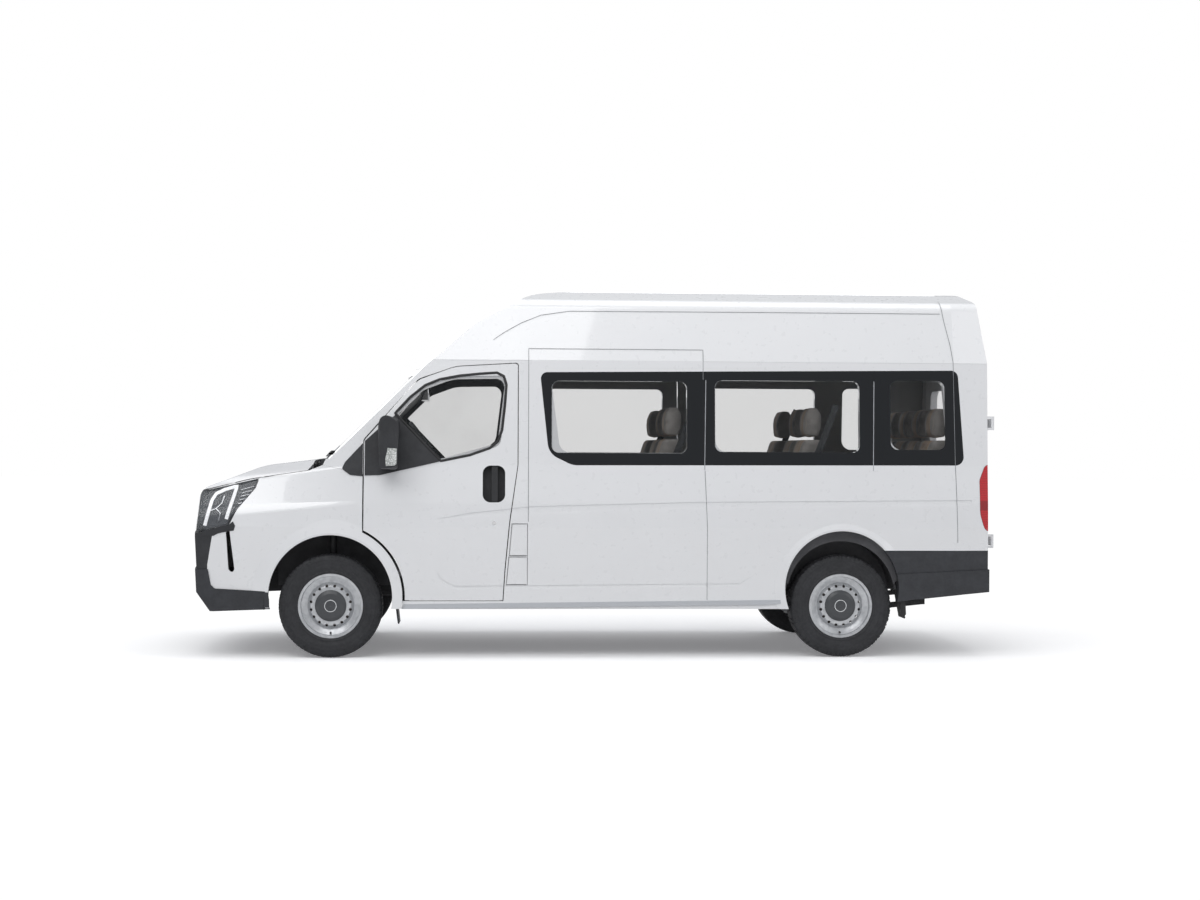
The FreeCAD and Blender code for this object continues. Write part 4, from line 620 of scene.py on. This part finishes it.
# radius less than the tread's, distance out from the middle: ribs and grooves of half the tread
TREAD = [(0.0002, 0.0560), (0.0002, 0.0520), (0.0085, 0.0505), (0.0085, 0.0435), (0.0002, 0.0420),
         (0.0, 0.0300), (0.0, 0.0200), (0.0085, 0.0185), (0.0085, 0.0110), (0.0, 0.0095), (0.0, 0.0)]
TREAD_SIDES = 210
SHOULDER_DEEP = 0.027
SIPE_DEEP = 0.0045


def make_tyre():
    half = [(TYRE_OUT - down, TYRE_HALF - inward) for down, inward in SIDEWALL]
    half += [(TYRE_OUT - down, out) for down, out in TREAD]
    profile = half + [(radius, -out) for radius, out in reversed(half[:-1])]
    profile.append(profile[0])
    centre = middle("left_front_tyre")
    tyre = turned("left_front_tyre_rubber", centre, profile, TREAD_SIDES)

    def sipe(face):
        """Every third place round the tread, on the shoulder, the outer rib and the middle rib."""
        place = centre_of(face) - centre
        radius, out = math.hypot(place.x, place.z), abs(place.y)
        step = int((math.atan2(place.z, place.x) / (2 * math.pi) * TREAD_SIDES) % 3)
        on_tread = radius >= TYRE_OUT - SHOULDER_DEEP
        return on_tread and step == 0 and (out > 0.052 or 0.0305 < out < 0.0415 or 0.0 < out < 0.0205)

    with Shaping(tyre) as shaping:
        shaping.pick(sipe)
        bpy.ops.mesh.extrude_region_shrink_fatten(TRANSFORM_OT_shrink_fatten={"value": -SIPE_DEEP})
    return smooth(tyre, 28)


WHEELBASE = REAR_AXLE - FRONT_AXLE


def at_every_wheel(*pieces):
    """The left front wheel's pieces and then their copies at each other wheel, with the wheel in words."""
    found = [("left_front", pieces)]
    for corner_name, back, mirror_y in (("left_rear", WHEELBASE, False), ("right_front", 0, True),
                                        ("right_rear", WHEELBASE, True)):
        found.append((corner_name, [moved_copy(piece, piece.name.replace("left_front", corner_name),
                                               (back, 0, 0), mirror_y) for piece in pieces]))
    return found


tyre_rubber = moulded("tyre_rubber", (0.012, 0.0125, 0.015), 0.62, 500, 0.00012)
for corner_name, (tyre,) in at_every_wheel(make_tyre()):
    tyre_rubber.on(tyre)
    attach(tyre, corner_name + "_wheel")
    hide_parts(corner_name + "_tyre")

# cap ring and valve on each wheel
HUB = middle("left_front_wheel")
bright_ring = Finish("bright_ring", (0.62, 0.63, 0.64), 0.18, metallic=1.0)
bright_ring.set(base_color=bright_ring.mix(bright_ring.noise(40), (0.66, 0.67, 0.68), (0.5, 0.51, 0.53)))


def wheel_surface_y(radius, angle):
    """Outer face of the wheel at a radius and angle about its hub."""
    outside = Vector((HUB.x + radius * math.cos(angle), -3, HUB.z + radius * math.sin(angle)))
    return tree_of("left_front_wheel").ray_cast(outside, Vector((0, 1, 0)))[0].y


RING_RADIUS = 0.039
# radius past the ring's middle and distance out from the cap
RING = [(0.0035, -0.002), (0.0035, 0.002), (0.0025, 0.003), (-0.0015, 0.003), (-0.0025, 0.002),
        (-0.0035, -0.002), (0.0035, -0.002)]
VALVE_RADIUS = 0.186
cap_y = wheel_surface_y(0.03, 0.3)
cap_ring = turned("left_front_cap_ring", Vector((HUB.x, 0, HUB.z)),
                  [(RING_RADIUS + past, cap_y - out) for past, out in RING], 72)
smooth(cap_ring, 35)
valve_y = wheel_surface_y(VALVE_RADIUS, -math.pi / 2)
valve = start("cylinder", "left_front_valve", (HUB.x, valve_y - 0.012, HUB.z - VALVE_RADIUS),
              turn=(math.pi / 2, 0, 0), radius=0.0058, depth=0.034, vertices=20)
with Shaping(valve) as shaping:
    shaping.pick(lambda face: face.normal.y < -0.9)
    bpy.ops.mesh.inset(thickness=0.0022)
    bpy.ops.mesh.extrude_region_move(TRANSFORM_OT_translate={"value": (0, -0.009, 0)})
smooth(valve)
for corner_name, (ring, stem) in at_every_wheel(cap_ring, valve):
    for finish, piece in ((bright_ring, ring), (rubber, stem)):
        finish.on(piece)
        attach(piece, corner_name + "_wheel")


# ---------------- Seats: foam cushions blown up as cloth, one set modelled and copied to every place
CUSHION_Z = 0.890
SEAT_WIDE = 0.430
VOXEL = 0.012
PRESSURE = 4
CLOTH_FRAMES = 20
# outlines seen from the side: distance behind the row's line and height above the cushion's underside
CUSHION = [(-0.548, 0.012), (-0.05, 0.012), (-0.05, 0.108), (-0.30, 0.104), (-0.50, 0.118), (-0.548, 0.10)]
BACK = [(-0.165, 0.133), (-0.042, 0.133), (0.060, 0.636), (-0.056, 0.636), (-0.098, 0.50), (-0.138, 0.30)]
HEADREST = [(-0.048, 0.656), (0.036, 0.646), (0.060, 0.71), (0.062, 0.80), (0.036, 0.852), (-0.022, 0.852),
            (-0.048, 0.80)]
CHANNEL_Y = 0.115


def foam(name, outline, wide, round_by=0.035, cap=0.012):
    """A rounded pad with an outline seen from the side, swollen as cloth by no more than the cap."""
    pad = plate(name, [(behind, CUSHION_Z + up) for behind, up in outline], wide, step=0.04)
    modified(pad, "BEVEL", width=round_by, segments=3, limit_method="ANGLE", angle_limit=math.radians(50))
    modified(pad, "REMESH", mode="VOXEL", voxel_size=VOXEL, use_smooth_shade=True)
    modified(pad, "SMOOTH", factor=0.5, iterations=4)
    before = [corner.co.copy() for corner in pad.data.vertices]
    cloth = pad.modifiers.new("cloth", "CLOTH")
    cloth.settings.use_pressure = True
    cloth.settings.uniform_pressure_force = PRESSURE
    cloth.settings.effector_weights.gravity = 0
    cloth.point_cache.frame_start, cloth.point_cache.frame_end = 1, CLOTH_FRAMES
    scene = bpy.context.scene
    for frame_number in range(1, CLOTH_FRAMES + 1):
        scene.frame_set(frame_number)
    shape = pad.evaluated_get(bpy.context.evaluated_depsgraph_get()).data
    swollen = [corner.co.copy() for corner in shape.vertices]
    pad.modifiers.remove(cloth)
    scene.frame_set(1)
    for corner, first, last in zip(pad.data.vertices, before, swollen):
        step = last - first
        if step.length > cap:
            step = step.normalized() * cap
        corner.co = first + step
    return pad


def pressed(pad, lines, depth=0.006, width=0.012):
    """Sewn channels: the surface is drawn in along lines given as (axis, place)."""
    for corner, normal in zip(pad.data.vertices, [v.normal.copy() for v in pad.data.vertices]):
        for axis, place in lines:
            far = abs(corner.co[axis] - place)
            if far < width * 2:
                corner.co -= normal * depth * math.exp(-(far / width) ** 2)
    return pad


def make_seat_pads():
    """Cushion, back and headrest of a seat whose row line is x = 0 and middle y = 0."""
    cushion = foam("cushion", CUSHION, SEAT_WIDE - 0.024)
    back = foam("back", BACK, SEAT_WIDE - 0.05)
    head = foam("head", HEADREST, 0.25, 0.03, 0.010)
    pressed(cushion, [(1, -CHANNEL_Y), (1, CHANNEL_Y), (0, -0.40)])
    pressed(back, [(1, -CHANNEL_Y), (1, CHANNEL_Y), (2, CUSHION_Z + 0.26)])
    pressed(head, [(1, -0.062), (1, 0.062)], 0.004, 0.008)
    return joined("seat_pads", cushion, back, head)


# each row's line behind the front axle, and the middles of its seats
ROWS = {"front_row_seats": (2.374, (-0.62, -0.14, 0.62)), "middle_row_seats": (3.370, (-0.62, -0.14, 0.62)),
        "rear_row_seats": (4.275, (-0.655, -0.218, 0.218, 0.655)), "cab_seats": (1.340, (-0.40, 0.40))}


def seat_cloth(name, row_x, centres):
    """Tan centre panels, grey bolsters, weave, and stitching along the channels."""
    finish = Finish(name, (0.3, 0.25, 0.2), 0.75, sheen_weight=0.25)
    y, x, z = finish.along("y"), finish.along("x") - row_x, finish.along("z")
    across = None
    for centre in centres:
        distance = abs(y - centre)
        across = distance if across is None else across.least(distance)
    bolster = across.ramp(CHANNEL_Y - 0.002, CHANNEL_Y + 0.002)
    headrest = z.ramp(CUSHION_Z + 0.66, CUSHION_Z + 0.67)
    side = bolster.most(headrest * across.ramp(0.060, 0.064))
    fuzz = finish.noise(900, 2)
    mottle = finish.noise(16, 3).ramp(0.3, 0.7)
    tan = finish.mix(mottle, (0.37, 0.255, 0.16), (0.3, 0.205, 0.13))
    grey = finish.mix(mottle, (0.27, 0.255, 0.24), (0.21, 0.2, 0.188))
    cloth = finish.mix(side, tan, grey)
    cloth = finish.mix(fuzz.ramp(0.35, 0.7) * 0.35, cloth, (0.13, 0.105, 0.085))
    stitch = ((across - 0.108) / 0.0016) ** 2
    dashes = (z + x).wave(0.009).ramp(0.35, 0.65)
    cloth = finish.mix(stitch.ramp(1.0, 0.3) * dashes, cloth, (0.42, 0.36, 0.29))
    finish.set(base_color=cloth)
    finish.set(roughness=mottle.ramp(0.0, 1.0, 0.68, 0.82))
    weave = (x + z).wave(0.0028) * 0.5 + y.wave(0.0028) * 0.5
    return finish.bump(weave * 0.6 + fuzz * 0.4, 0.0006)


seat_pads = make_seat_pads()
for row_node, (behind, centres) in ROWS.items():
    row_x = FRONT_AXLE + behind
    copies = [moved_copy(seat_pads, "%s_%d" % (row_node, i), (row_x, y, 0)) for i, y in enumerate(centres)]
    finish = seat_cloth(row_node + "_cloth", row_x, centres)
    for copy in copies:
        finish.on(copy)
        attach(copy, "body")
        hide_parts(row_node)
bpy.data.objects.remove(seat_pads)


# ---------------- Black trim of the front doors: window seal, sail, lock
def at(points):
    """Places given in millimetres behind the front axle and above the ground, in metres."""
    return [(FRONT_AXLE + x / 1000, z / 1000) for x, z in points]


def finished(piece, finish, body):
    """Smooths a new piece, gives it its finish, and fixes it to a body."""
    smooth(piece)
    finish.on(piece)
    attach(piece, body)
    return piece


def both_sides(piece, finish, body):
    """A piece on the left and its twin on the right; a name starting with left_ says so."""
    other = moved_copy(piece, piece.name.replace("left_", "right_"), mirror_y=True)
    finished(piece, finish, body)
    finished(other, finish, body.replace("left_", "right_"))
    return piece, other


DOOR_WINDOW = [(435, 1685), (537, 1796), (640, 1879), (742, 1921), (880, 1947), (1018, 1961), (1135, 1969),
               (1183, 1945), (1201, 1883), (1191, 1745), (1172, 1572), (1144, 1496), (1089, 1447),
               (952, 1398), (752, 1356)]
SAIL_ON_DOOR = [(230, 1254), (335, 1257), (472, 1289), (744, 1352), (600, 1500), (436, 1672), (322, 1577),
                (230, 1492)]
SAIL_ON_WING = [(74, 1304), (94, 1346), (216, 1477), (216, 1249), (130, 1257), (82, 1291)]
PANEL_THICK = 0.004
PANEL_LIFT = -0.001


def side_panel(name, outline, step, finish, body, lift=PANEL_LIFT, tree=SKIN):
    """A thin panel laid on the side, and its twin; lift is below zero where it stands out."""
    both_sides(laid_on_side(plate(name, at(outline), PANEL_THICK, step=step, lift=lift), -1, tree), finish,
               body)


def side_strip(name, route, width, thick, step, finish, lift=0.0, closed=False,
               body="body"):
    """A strip laid on the side, and its twin."""
    both_sides(laid_on_side(band(name, at(route), width, thick, closed, step, lift)), finish, body)


side_strip("left_door_window_seal", DOOR_WINDOW, 0.018, 0.003, 0.02, rubber, closed=True,
           body="left_front_door")
side_panel("left_door_sail", SAIL_ON_DOOR, 0.03, black_plastic, "left_front_door")
side_panel("left_wing_sail", SAIL_ON_WING, 0.03, black_plastic, "body")


def make_lock():
    x, z = at([(1119, 931)])[0]
    y = skin_y(x, z)
    lock = start("cylinder", "left_door_lock", (x, y, z), turn=(math.pi / 2, 0, 0), radius=0.013, depth=0.006,
                 vertices=32)
    with Shaping(lock) as shaping:
        shaping.pick(lambda face: face.normal.y < -0.9)
        bpy.ops.mesh.inset(thickness=0.003)
        bpy.ops.mesh.extrude_region_move(TRANSFORM_OT_translate={"value": (0, 0.0018, 0)})
        bpy.ops.mesh.inset(thickness=0.006)
        bpy.ops.mesh.extrude_region_move(TRANSFORM_OT_translate={"value": (0, -0.001, 0)})
    return lock


both_sides(make_lock(), bright_metal, "left_front_door")

# ---------------- Headlamps: black bowl, light guide, chrome bands and ribs behind the lens
LAMP = [(-849, 1150), (-781, 1164), (-506, 1228), (-530, 1163), (-570, 1101), (-638, 1032), (-685, 969),
        (-700, 942), (-706, 912), (-861, 872), (-872, 900)]
LIGHT_GUIDE = [(-862, 905), (-821, 1079), (-794, 1124), (-733, 1152), (-652, 1176), (-705, 990), (-716, 950)]
INNER_CURVES = [[(-842, 1000), (-790, 1022), (-752, 1060), (-738, 1110)],
                [(-790, 1022), (-758, 990), (-768, 940)]]
RIBS = [[(-622, 1150), (-534, 1176)], [(-620, 1128), (-548, 1147)], [(-622, 1106), (-566, 1120)],
        [(-632, 1081), (-586, 1092)], [(-640, 1056), (-612, 1063)]]
LAMP_BAND = [(-878, 868), (-697, 912), (-668, 935), (-652, 905), (-662, 872), (-700, 868), (-770, 852),
             (-800, 836), (-878, 836)]
glow = Finish("light_guide", (0.9, 0.9, 0.92), 0.3, emission_color=(1, 1, 1), emission_strength=0.35)
glow.set(base_color=glow.mix(glow.along("z").wave(0.02), (0.93, 0.94, 0.96), (0.84, 0.85, 0.88)))
bowl_finish = moulded("lamp_bowl", (0.03, 0.032, 0.038), 0.35)
bowl = laid_on_side(plate("left_lamp_bowl", at(LAMP), 0.003, step=0.025, lift=0.026))
both_sides(bowl, bowl_finish, "body")
side_strip("left_light_guide", LIGHT_GUIDE, 0.024, 0.005, 0.015, glow, 0.014)
for number, route in enumerate(INNER_CURVES):
    side_strip("left_lamp_chrome_%d" % number, route, 0.009, 0.003, 0.012, bright_ring, 0.018)
for number, route in enumerate(RIBS):
    side_strip("left_lamp_rib_%d" % number, route, 0.007, 0.003, 0.015, bright_ring, 0.016)
side_panel("left_lamp_band", LAMP_BAND, 0.02, black_plastic, "body")

# ---------------- Rear wheel arches closed to their tubs, and rear mudflaps
def arc(centre, radius, start_angle, end_angle, count=28):
    """Places along part of a circle, its angles in degrees."""
    turn = [math.radians(start_angle + (end_angle - start_angle) * i / count) for i in range(count + 1)]
    return [(centre[0] + radius * math.cos(a), centre[1] + radius * math.sin(a)) for a in turn]


def upright(name, outline, thick, y, finish, step, round_by=0.0):
    """A flat plate standing upright along the vehicle at y, and its twin."""
    piece = plate(name, at(outline), thick, step=step)
    if round_by:
        modified(piece, "BEVEL", width=round_by, segments=2, limit_method="ANGLE")
    piece.data.transform(Matrix.Translation((0, y, 0)))
    both_sides(piece, finish, "body")


ARCH, ARCH_RADIUS = (3540, 480), 404
TUB, TUB_RADIUS = (3540, 430), 379
upright("left_arch_closing", arc(ARCH, ARCH_RADIUS, 8, 172) + arc(TUB, TUB_RADIUS, 168, 12), 0.004, -0.945,
        trim_dark, 0.2)
FLAP = [(3922, 588), (3936, 566), (3968, 500), (3990, 420), (3996, 300), (3984, 284), (3962, 282),
        (3956, 300), (3954, 440), (3938, 520)]
upright("left_rear_mudflap", FLAP, 0.010, -0.972, rubber, 0.05, 0.003)

# ---------------- Mirrors: turn lamp on the housing's outer side
TURN_LAMP = [(384, 1322), (440, 1324), (456, 1336), (458, 1440), (396, 1444), (390, 1410), (380, 1372)]
clear_lens = Finish("clear_lens", (0.75, 0.76, 0.75), 0.12, coat_weight=1.0)
clear_lens.set(base_color=clear_lens.mix(clear_lens.cells(90).ramp(0.1, 0.7), (0.85, 0.86, 0.84),
                                         (0.42, 0.44, 0.42)))
clear_lens.bump(clear_lens.along("z").wave(0.007), 0.0008)
side_panel("left_turn_lamp", TURN_LAMP, 0.015, clear_lens, "left_front_door", -0.0015,
           tree_of("left_mirror"))

# ---------------- Seams, a painted shade line along the roof crease, window dividers and small parts of the side
# dark tone of the panel joints, also used for the painted shade line along the roof's drip crease
seam_tone = moulded("seam_tone", (0.2, 0.205, 0.215), 0.6)
divider_tone = moulded("divider_tone", (0.36, 0.37, 0.39), 0.4)
SEAMS_AND_CREASE_SHADE = [[(1355, 940), (1355, 1500), (1355, 2139), (2570, 2139), (2570, 1930)],
         [(2581, 1294), (2596, 900), (2596, 400)],
         [(4265, 2505), (4287, 2359), (4323, 2184), (4338, 2065), (4345, 1344), (4356, 800)],
         # painted shade: a dark line along the roof's drip crease, standing for the shade under the crease
         [(1110, 2200), (1190, 2255), (1300, 2318), (1440, 2376), (1640, 2406), (3000, 2410), (4262, 2410)]]
SEAM_WIDE = 0.0036
for number, route in enumerate(SEAMS_AND_CREASE_SHADE):
    side_strip("left_seam_%d" % number, route, SEAM_WIDE, 0.0004, 0.02, seam_tone, lift=-0.0003)
for number, x in enumerate((2584, 3769)):
    side_strip("left_window_divider_%d" % number, [(x - 5, 1300), (x + 5, 1926)], 0.005, 0.0005, 0.03,
               divider_tone, -0.0004)
BUMPER_END = [(-456, 452), (-424, 450), (-416, 400), (-414, 330), (-456, 330)]
side_panel("left_bumper_end", BUMPER_END, 0.02, charcoal, "body")
# rubber stops behind the lower corners of the front door's opening
STOP = [(-26, -22), (-20, -30), (20, -30), (26, -22), (26, 24), (-26, 24)]
for number, (x, z) in enumerate(((502, 404), (1189, 404))):
    upright("left_door_stop_%d" % number, [(x + across, z + up) for across, up in STOP], 0.006, -0.905,
            rubber, 0.05)


def make_button(flap):
    """A low round push catch near a flap's rear edge, on the body's skin behind the flap."""
    low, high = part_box(flap)
    x, z = high.x - 0.024, (low.z + high.z) / 2 - 0.03
    button = start("cylinder", flap + "_button", (x, skin_y(x, z) - 0.0015, z), turn=(math.pi / 2, 0, 0),
                   radius=0.012, depth=0.004, vertices=40)
    with Shaping(button) as shaping:
        shaping.pick(lambda face: face.normal.y < -0.9)
        bpy.ops.mesh.inset(thickness=0.0025)
        bpy.ops.mesh.extrude_region_move(TRANSFORM_OT_translate={"value": (0, 0.0012, 0)})
    return finished(button, white_paint, flap)


for flap_name in ("fuel_flap", "service_flap"):
    make_button(flap_name)

# ---------------- Tail: lamp bar, handle, high brake lamp, reflectors
red_reflector = Finish("red_reflector", (0.4, 0.01, 0.012), 0.15, coat_weight=1.0)
red_reflector.set(base_color=red_reflector.mix(red_reflector.cells(140).ramp(0.1, 0.6), (0.5, 0.012, 0.02),
                                               (0.26, 0.005, 0.008)))


def boxed(name, low, high, finish, body, slot, round_by=0.006, dish=0.0, dish_by=0.01):
    """A rounded block between two corners; with a dish, the face towards the nose is sunk inside a rim."""
    half = [(b - a) / 2 for a, b in zip(low, high)]
    block = start("cube", name, [(a + b) / 2 for a, b in zip(low, high)], half)
    if dish:
        with Shaping(block) as shaping:
            shaping.pick(lambda face: face.normal.x < -0.9)
            bpy.ops.mesh.inset(thickness=dish_by)
            bpy.ops.mesh.extrude_region_move(TRANSFORM_OT_translate={"value": (dish, 0, 0)})
    modified(block, "BEVEL", width=round_by, segments=3, limit_method="ANGLE")
    return finished(block, finish, body)


def tail_plate(name, low, high, thick, finish, body, slot, lift=0.0):
    """A thin panel with cut corners laid on the tail, given by y and z limits in metres."""
    (y0, z0), (y1, z1) = low, high
    cut = min(y1 - y0, z1 - z0) * 0.22
    outline = [(y0 + cut, z0), (y1 - cut, z0), (y1, z0 + cut), (y1, z1 - cut), (y1 - cut, z1), (y0 + cut, z1),
               (y0, z1 - cut), (y0, z0 + cut)]
    finished(laid_on_tail(plate(name, outline, thick, "end", 0.06, lift)), finish, body)


REAR_DOOR = ("left_rear_door", "dark_plastic")
TAIL_BODY = ("body", "red_lamp")
tail_plate("tail_lamp_bar", (-0.64, 1.085), (-0.06, 1.13), 0.024, black_plastic, *REAR_DOOR)
tail_plate("tail_handle_bowl", (-0.20, 1.17), (-0.05, 1.255), 0.006, black_plastic, *REAR_DOOR)
tail_plate("tail_handle_grip", (-0.19, 1.20), (-0.06, 1.228), 0.018, gloss_black, *REAR_DOOR, 0.008)
tail_plate("high_brake_lamp", (-0.16, 2.11), (0.16, 2.145), 0.008, red_reflector, *TAIL_BODY)
for side in (-1, 1):
    near, far = sorted((side * 0.66, side * 0.80))
    name = "tail_reflector_%s" % ("left" if side < 0 else "right")
    tail_plate(name, (near, 0.515), (far, 0.55), 0.006, red_reflector, *TAIL_BODY)

# ---------------- Cab: instrument hood, screen, glove lid, vents, inner mirror
dark_glass = Finish("dark_glass", (0.012, 0.013, 0.015), 0.06, coat_weight=1.0)
dark_glass.set(base_color=dark_glass.mix(dark_glass.noise(6), (0.012, 0.013, 0.016), (0.03, 0.033, 0.038)))
TRIM = ("body", "trim")
BLACK_TRIM = ("body", "dark_plastic")
boxed("instrument_hood", (-1.565, -0.72, 1.305), (-1.305, -0.08, 1.465), trim_dark, *TRIM, 0.02)
boxed("centre_screen", (-1.4325, -0.28, 1.215), (-1.3825, 0.28, 1.555), dark_glass, *BLACK_TRIM, 0.006, 0.003,
      0.008)
boxed("glove_lid", (-1.412, 0.06, 1.07), (-1.38, 0.94, 1.35), trim_grey, *TRIM, 0.006, 0.003, 0.012)
SLAT_LOWEST, SLAT_PITCH, SLAT_TALL = 1.2995, 0.014, 0.006
for number, y in enumerate((-0.74, -0.20, 0.20, 0.74)):
    boxed("vent_%d" % number, (-1.424, y - 0.11, 1.255), (-1.376, y + 0.11, 1.375), black_plastic, *BLACK_TRIM,
          0.005, 0.010, 0.007)
    for slat in range(3):
        z = SLAT_LOWEST + slat * SLAT_PITCH
        boxed("vent_%d_slat_%d" % (number, slat), (-1.412, y - 0.096, z), (-1.384, y + 0.096, z + SLAT_TALL),
              black_plastic, *BLACK_TRIM, 0.001)
boxed("inner_mirror", (-1.2325, -0.24, 1.795), (-1.1825, 0.24, 1.935), gloss_black, *BLACK_TRIM, 0.010, 0.002,
      0.006)

# ---------------- Belts: straps from the pillars to each outer seat
webbing = moulded("belt_webbing", (0.025, 0.026, 0.028), 0.8)
webbing.bump(webbing.along("z").wave(0.004), 0.0004)
BELT = [(0.150, 1.760), (0.100, 1.62), (0.030, 1.44), (-0.060, 1.25), (-0.170, 1.07)]
for number, (behind, y) in enumerate(((2.374, -0.845), (3.370, -0.845), (1.340, -0.66))):
    belt = band("left_belt_%d" % number, [(FRONT_AXLE + behind + x, z) for x, z in BELT], 0.046, 0.0012,
                step=0.04)
    belt.data.transform(Matrix.Translation((0, y, 0)))
    both_sides(belt, webbing, "body")


# ---------------- Stage: a floor that fades to white around the shadow
FLOOR_LONGER = 1.5
FADE_FROM, FADE_TO = 1.4, 4.2


def set_stage():
    bpy.ops.object.select_all(action="DESELECT")
    bpy.ops.mesh.primitive_plane_add(size=160, location=(0, 0, GROUND_Z - 0.001))
    floor = bpy.context.object
    floor.name = "floor"
    ground = Finish("floor_finish", (0.9, 0.9, 0.9), 0.9)
    path = ground.nodes.new("ShaderNodeLightPath")
    camera_ray, glossy_ray, glass_ray = [Value(ground, path.outputs["Is %s Ray" % kind])
                                         for kind in ("Camera", "Glossy", "Transmission")]
    seen = camera_ray.most(glossy_ray).most(glass_ray)
    distance = ((ground.along("x") / FLOOR_LONGER) ** 2 + ground.along("y") ** 2) ** 0.5
    away = distance.ramp(FADE_FROM, FADE_TO) * seen
    ground.set(base_color=ground.mix(away, ground.mix(seen, (0.5, 0.5, 0.51), (0.98, 0.98, 0.98)), (0, 0, 0)))
    ground.set(emission_color=ground.mix(away, ground.mix(seen, (0, 0, 0), (0.18, 0.18, 0.185)), (1, 1, 1)),
               emission_strength=1.0)
    ground.on(floor)
    world = bpy.data.worlds.new("studio")
    bpy.context.scene.world = world
    world.use_nodes = True
    tree = world.node_tree
    sky = tree.nodes["Background"]
    sky.inputs["Strength"].default_value = 1.0
    rays = tree.nodes.new("ShaderNodeLightPath")
    mixer = tree.nodes.new("ShaderNodeMix")
    mixer.data_type = "RGBA"
    direct = tree.nodes.new("ShaderNodeMath")
    direct.operation = "MAXIMUM"
    tree.links.new(rays.outputs["Is Camera Ray"], direct.inputs[0])
    tree.links.new(rays.outputs["Is Transmission Ray"], direct.inputs[1])
    tree.links.new(direct.outputs[0], mixer.inputs[0])
    mixer.inputs[6].default_value = (0.5, 0.51, 0.53, 1)
    mixer.inputs[7].default_value = (1, 1, 1, 1)
    tree.links.new(mixer.outputs[2], sky.inputs["Color"])
    bpy.context.scene.view_settings.view_transform = "Standard"


set_camera()
set_stage()
for name, place, target, size, power in (("key", (-3.5, -8.0, 8.0), (0, 0, 1.0), (9, 5), 390),
                                         ("fill", (8.0, -6.0, 5.0), (1, 0, 1.0), (6, 5), 110),
                                         ("top", (0, -1.0, 9.0), (0, 0, 0), (9, 6), 300),
                                         ("back", (0, 8.0, 3.5), (0, 0, 1.2), (9, 3), 90)):
    add_light(name, place, target, size, power)
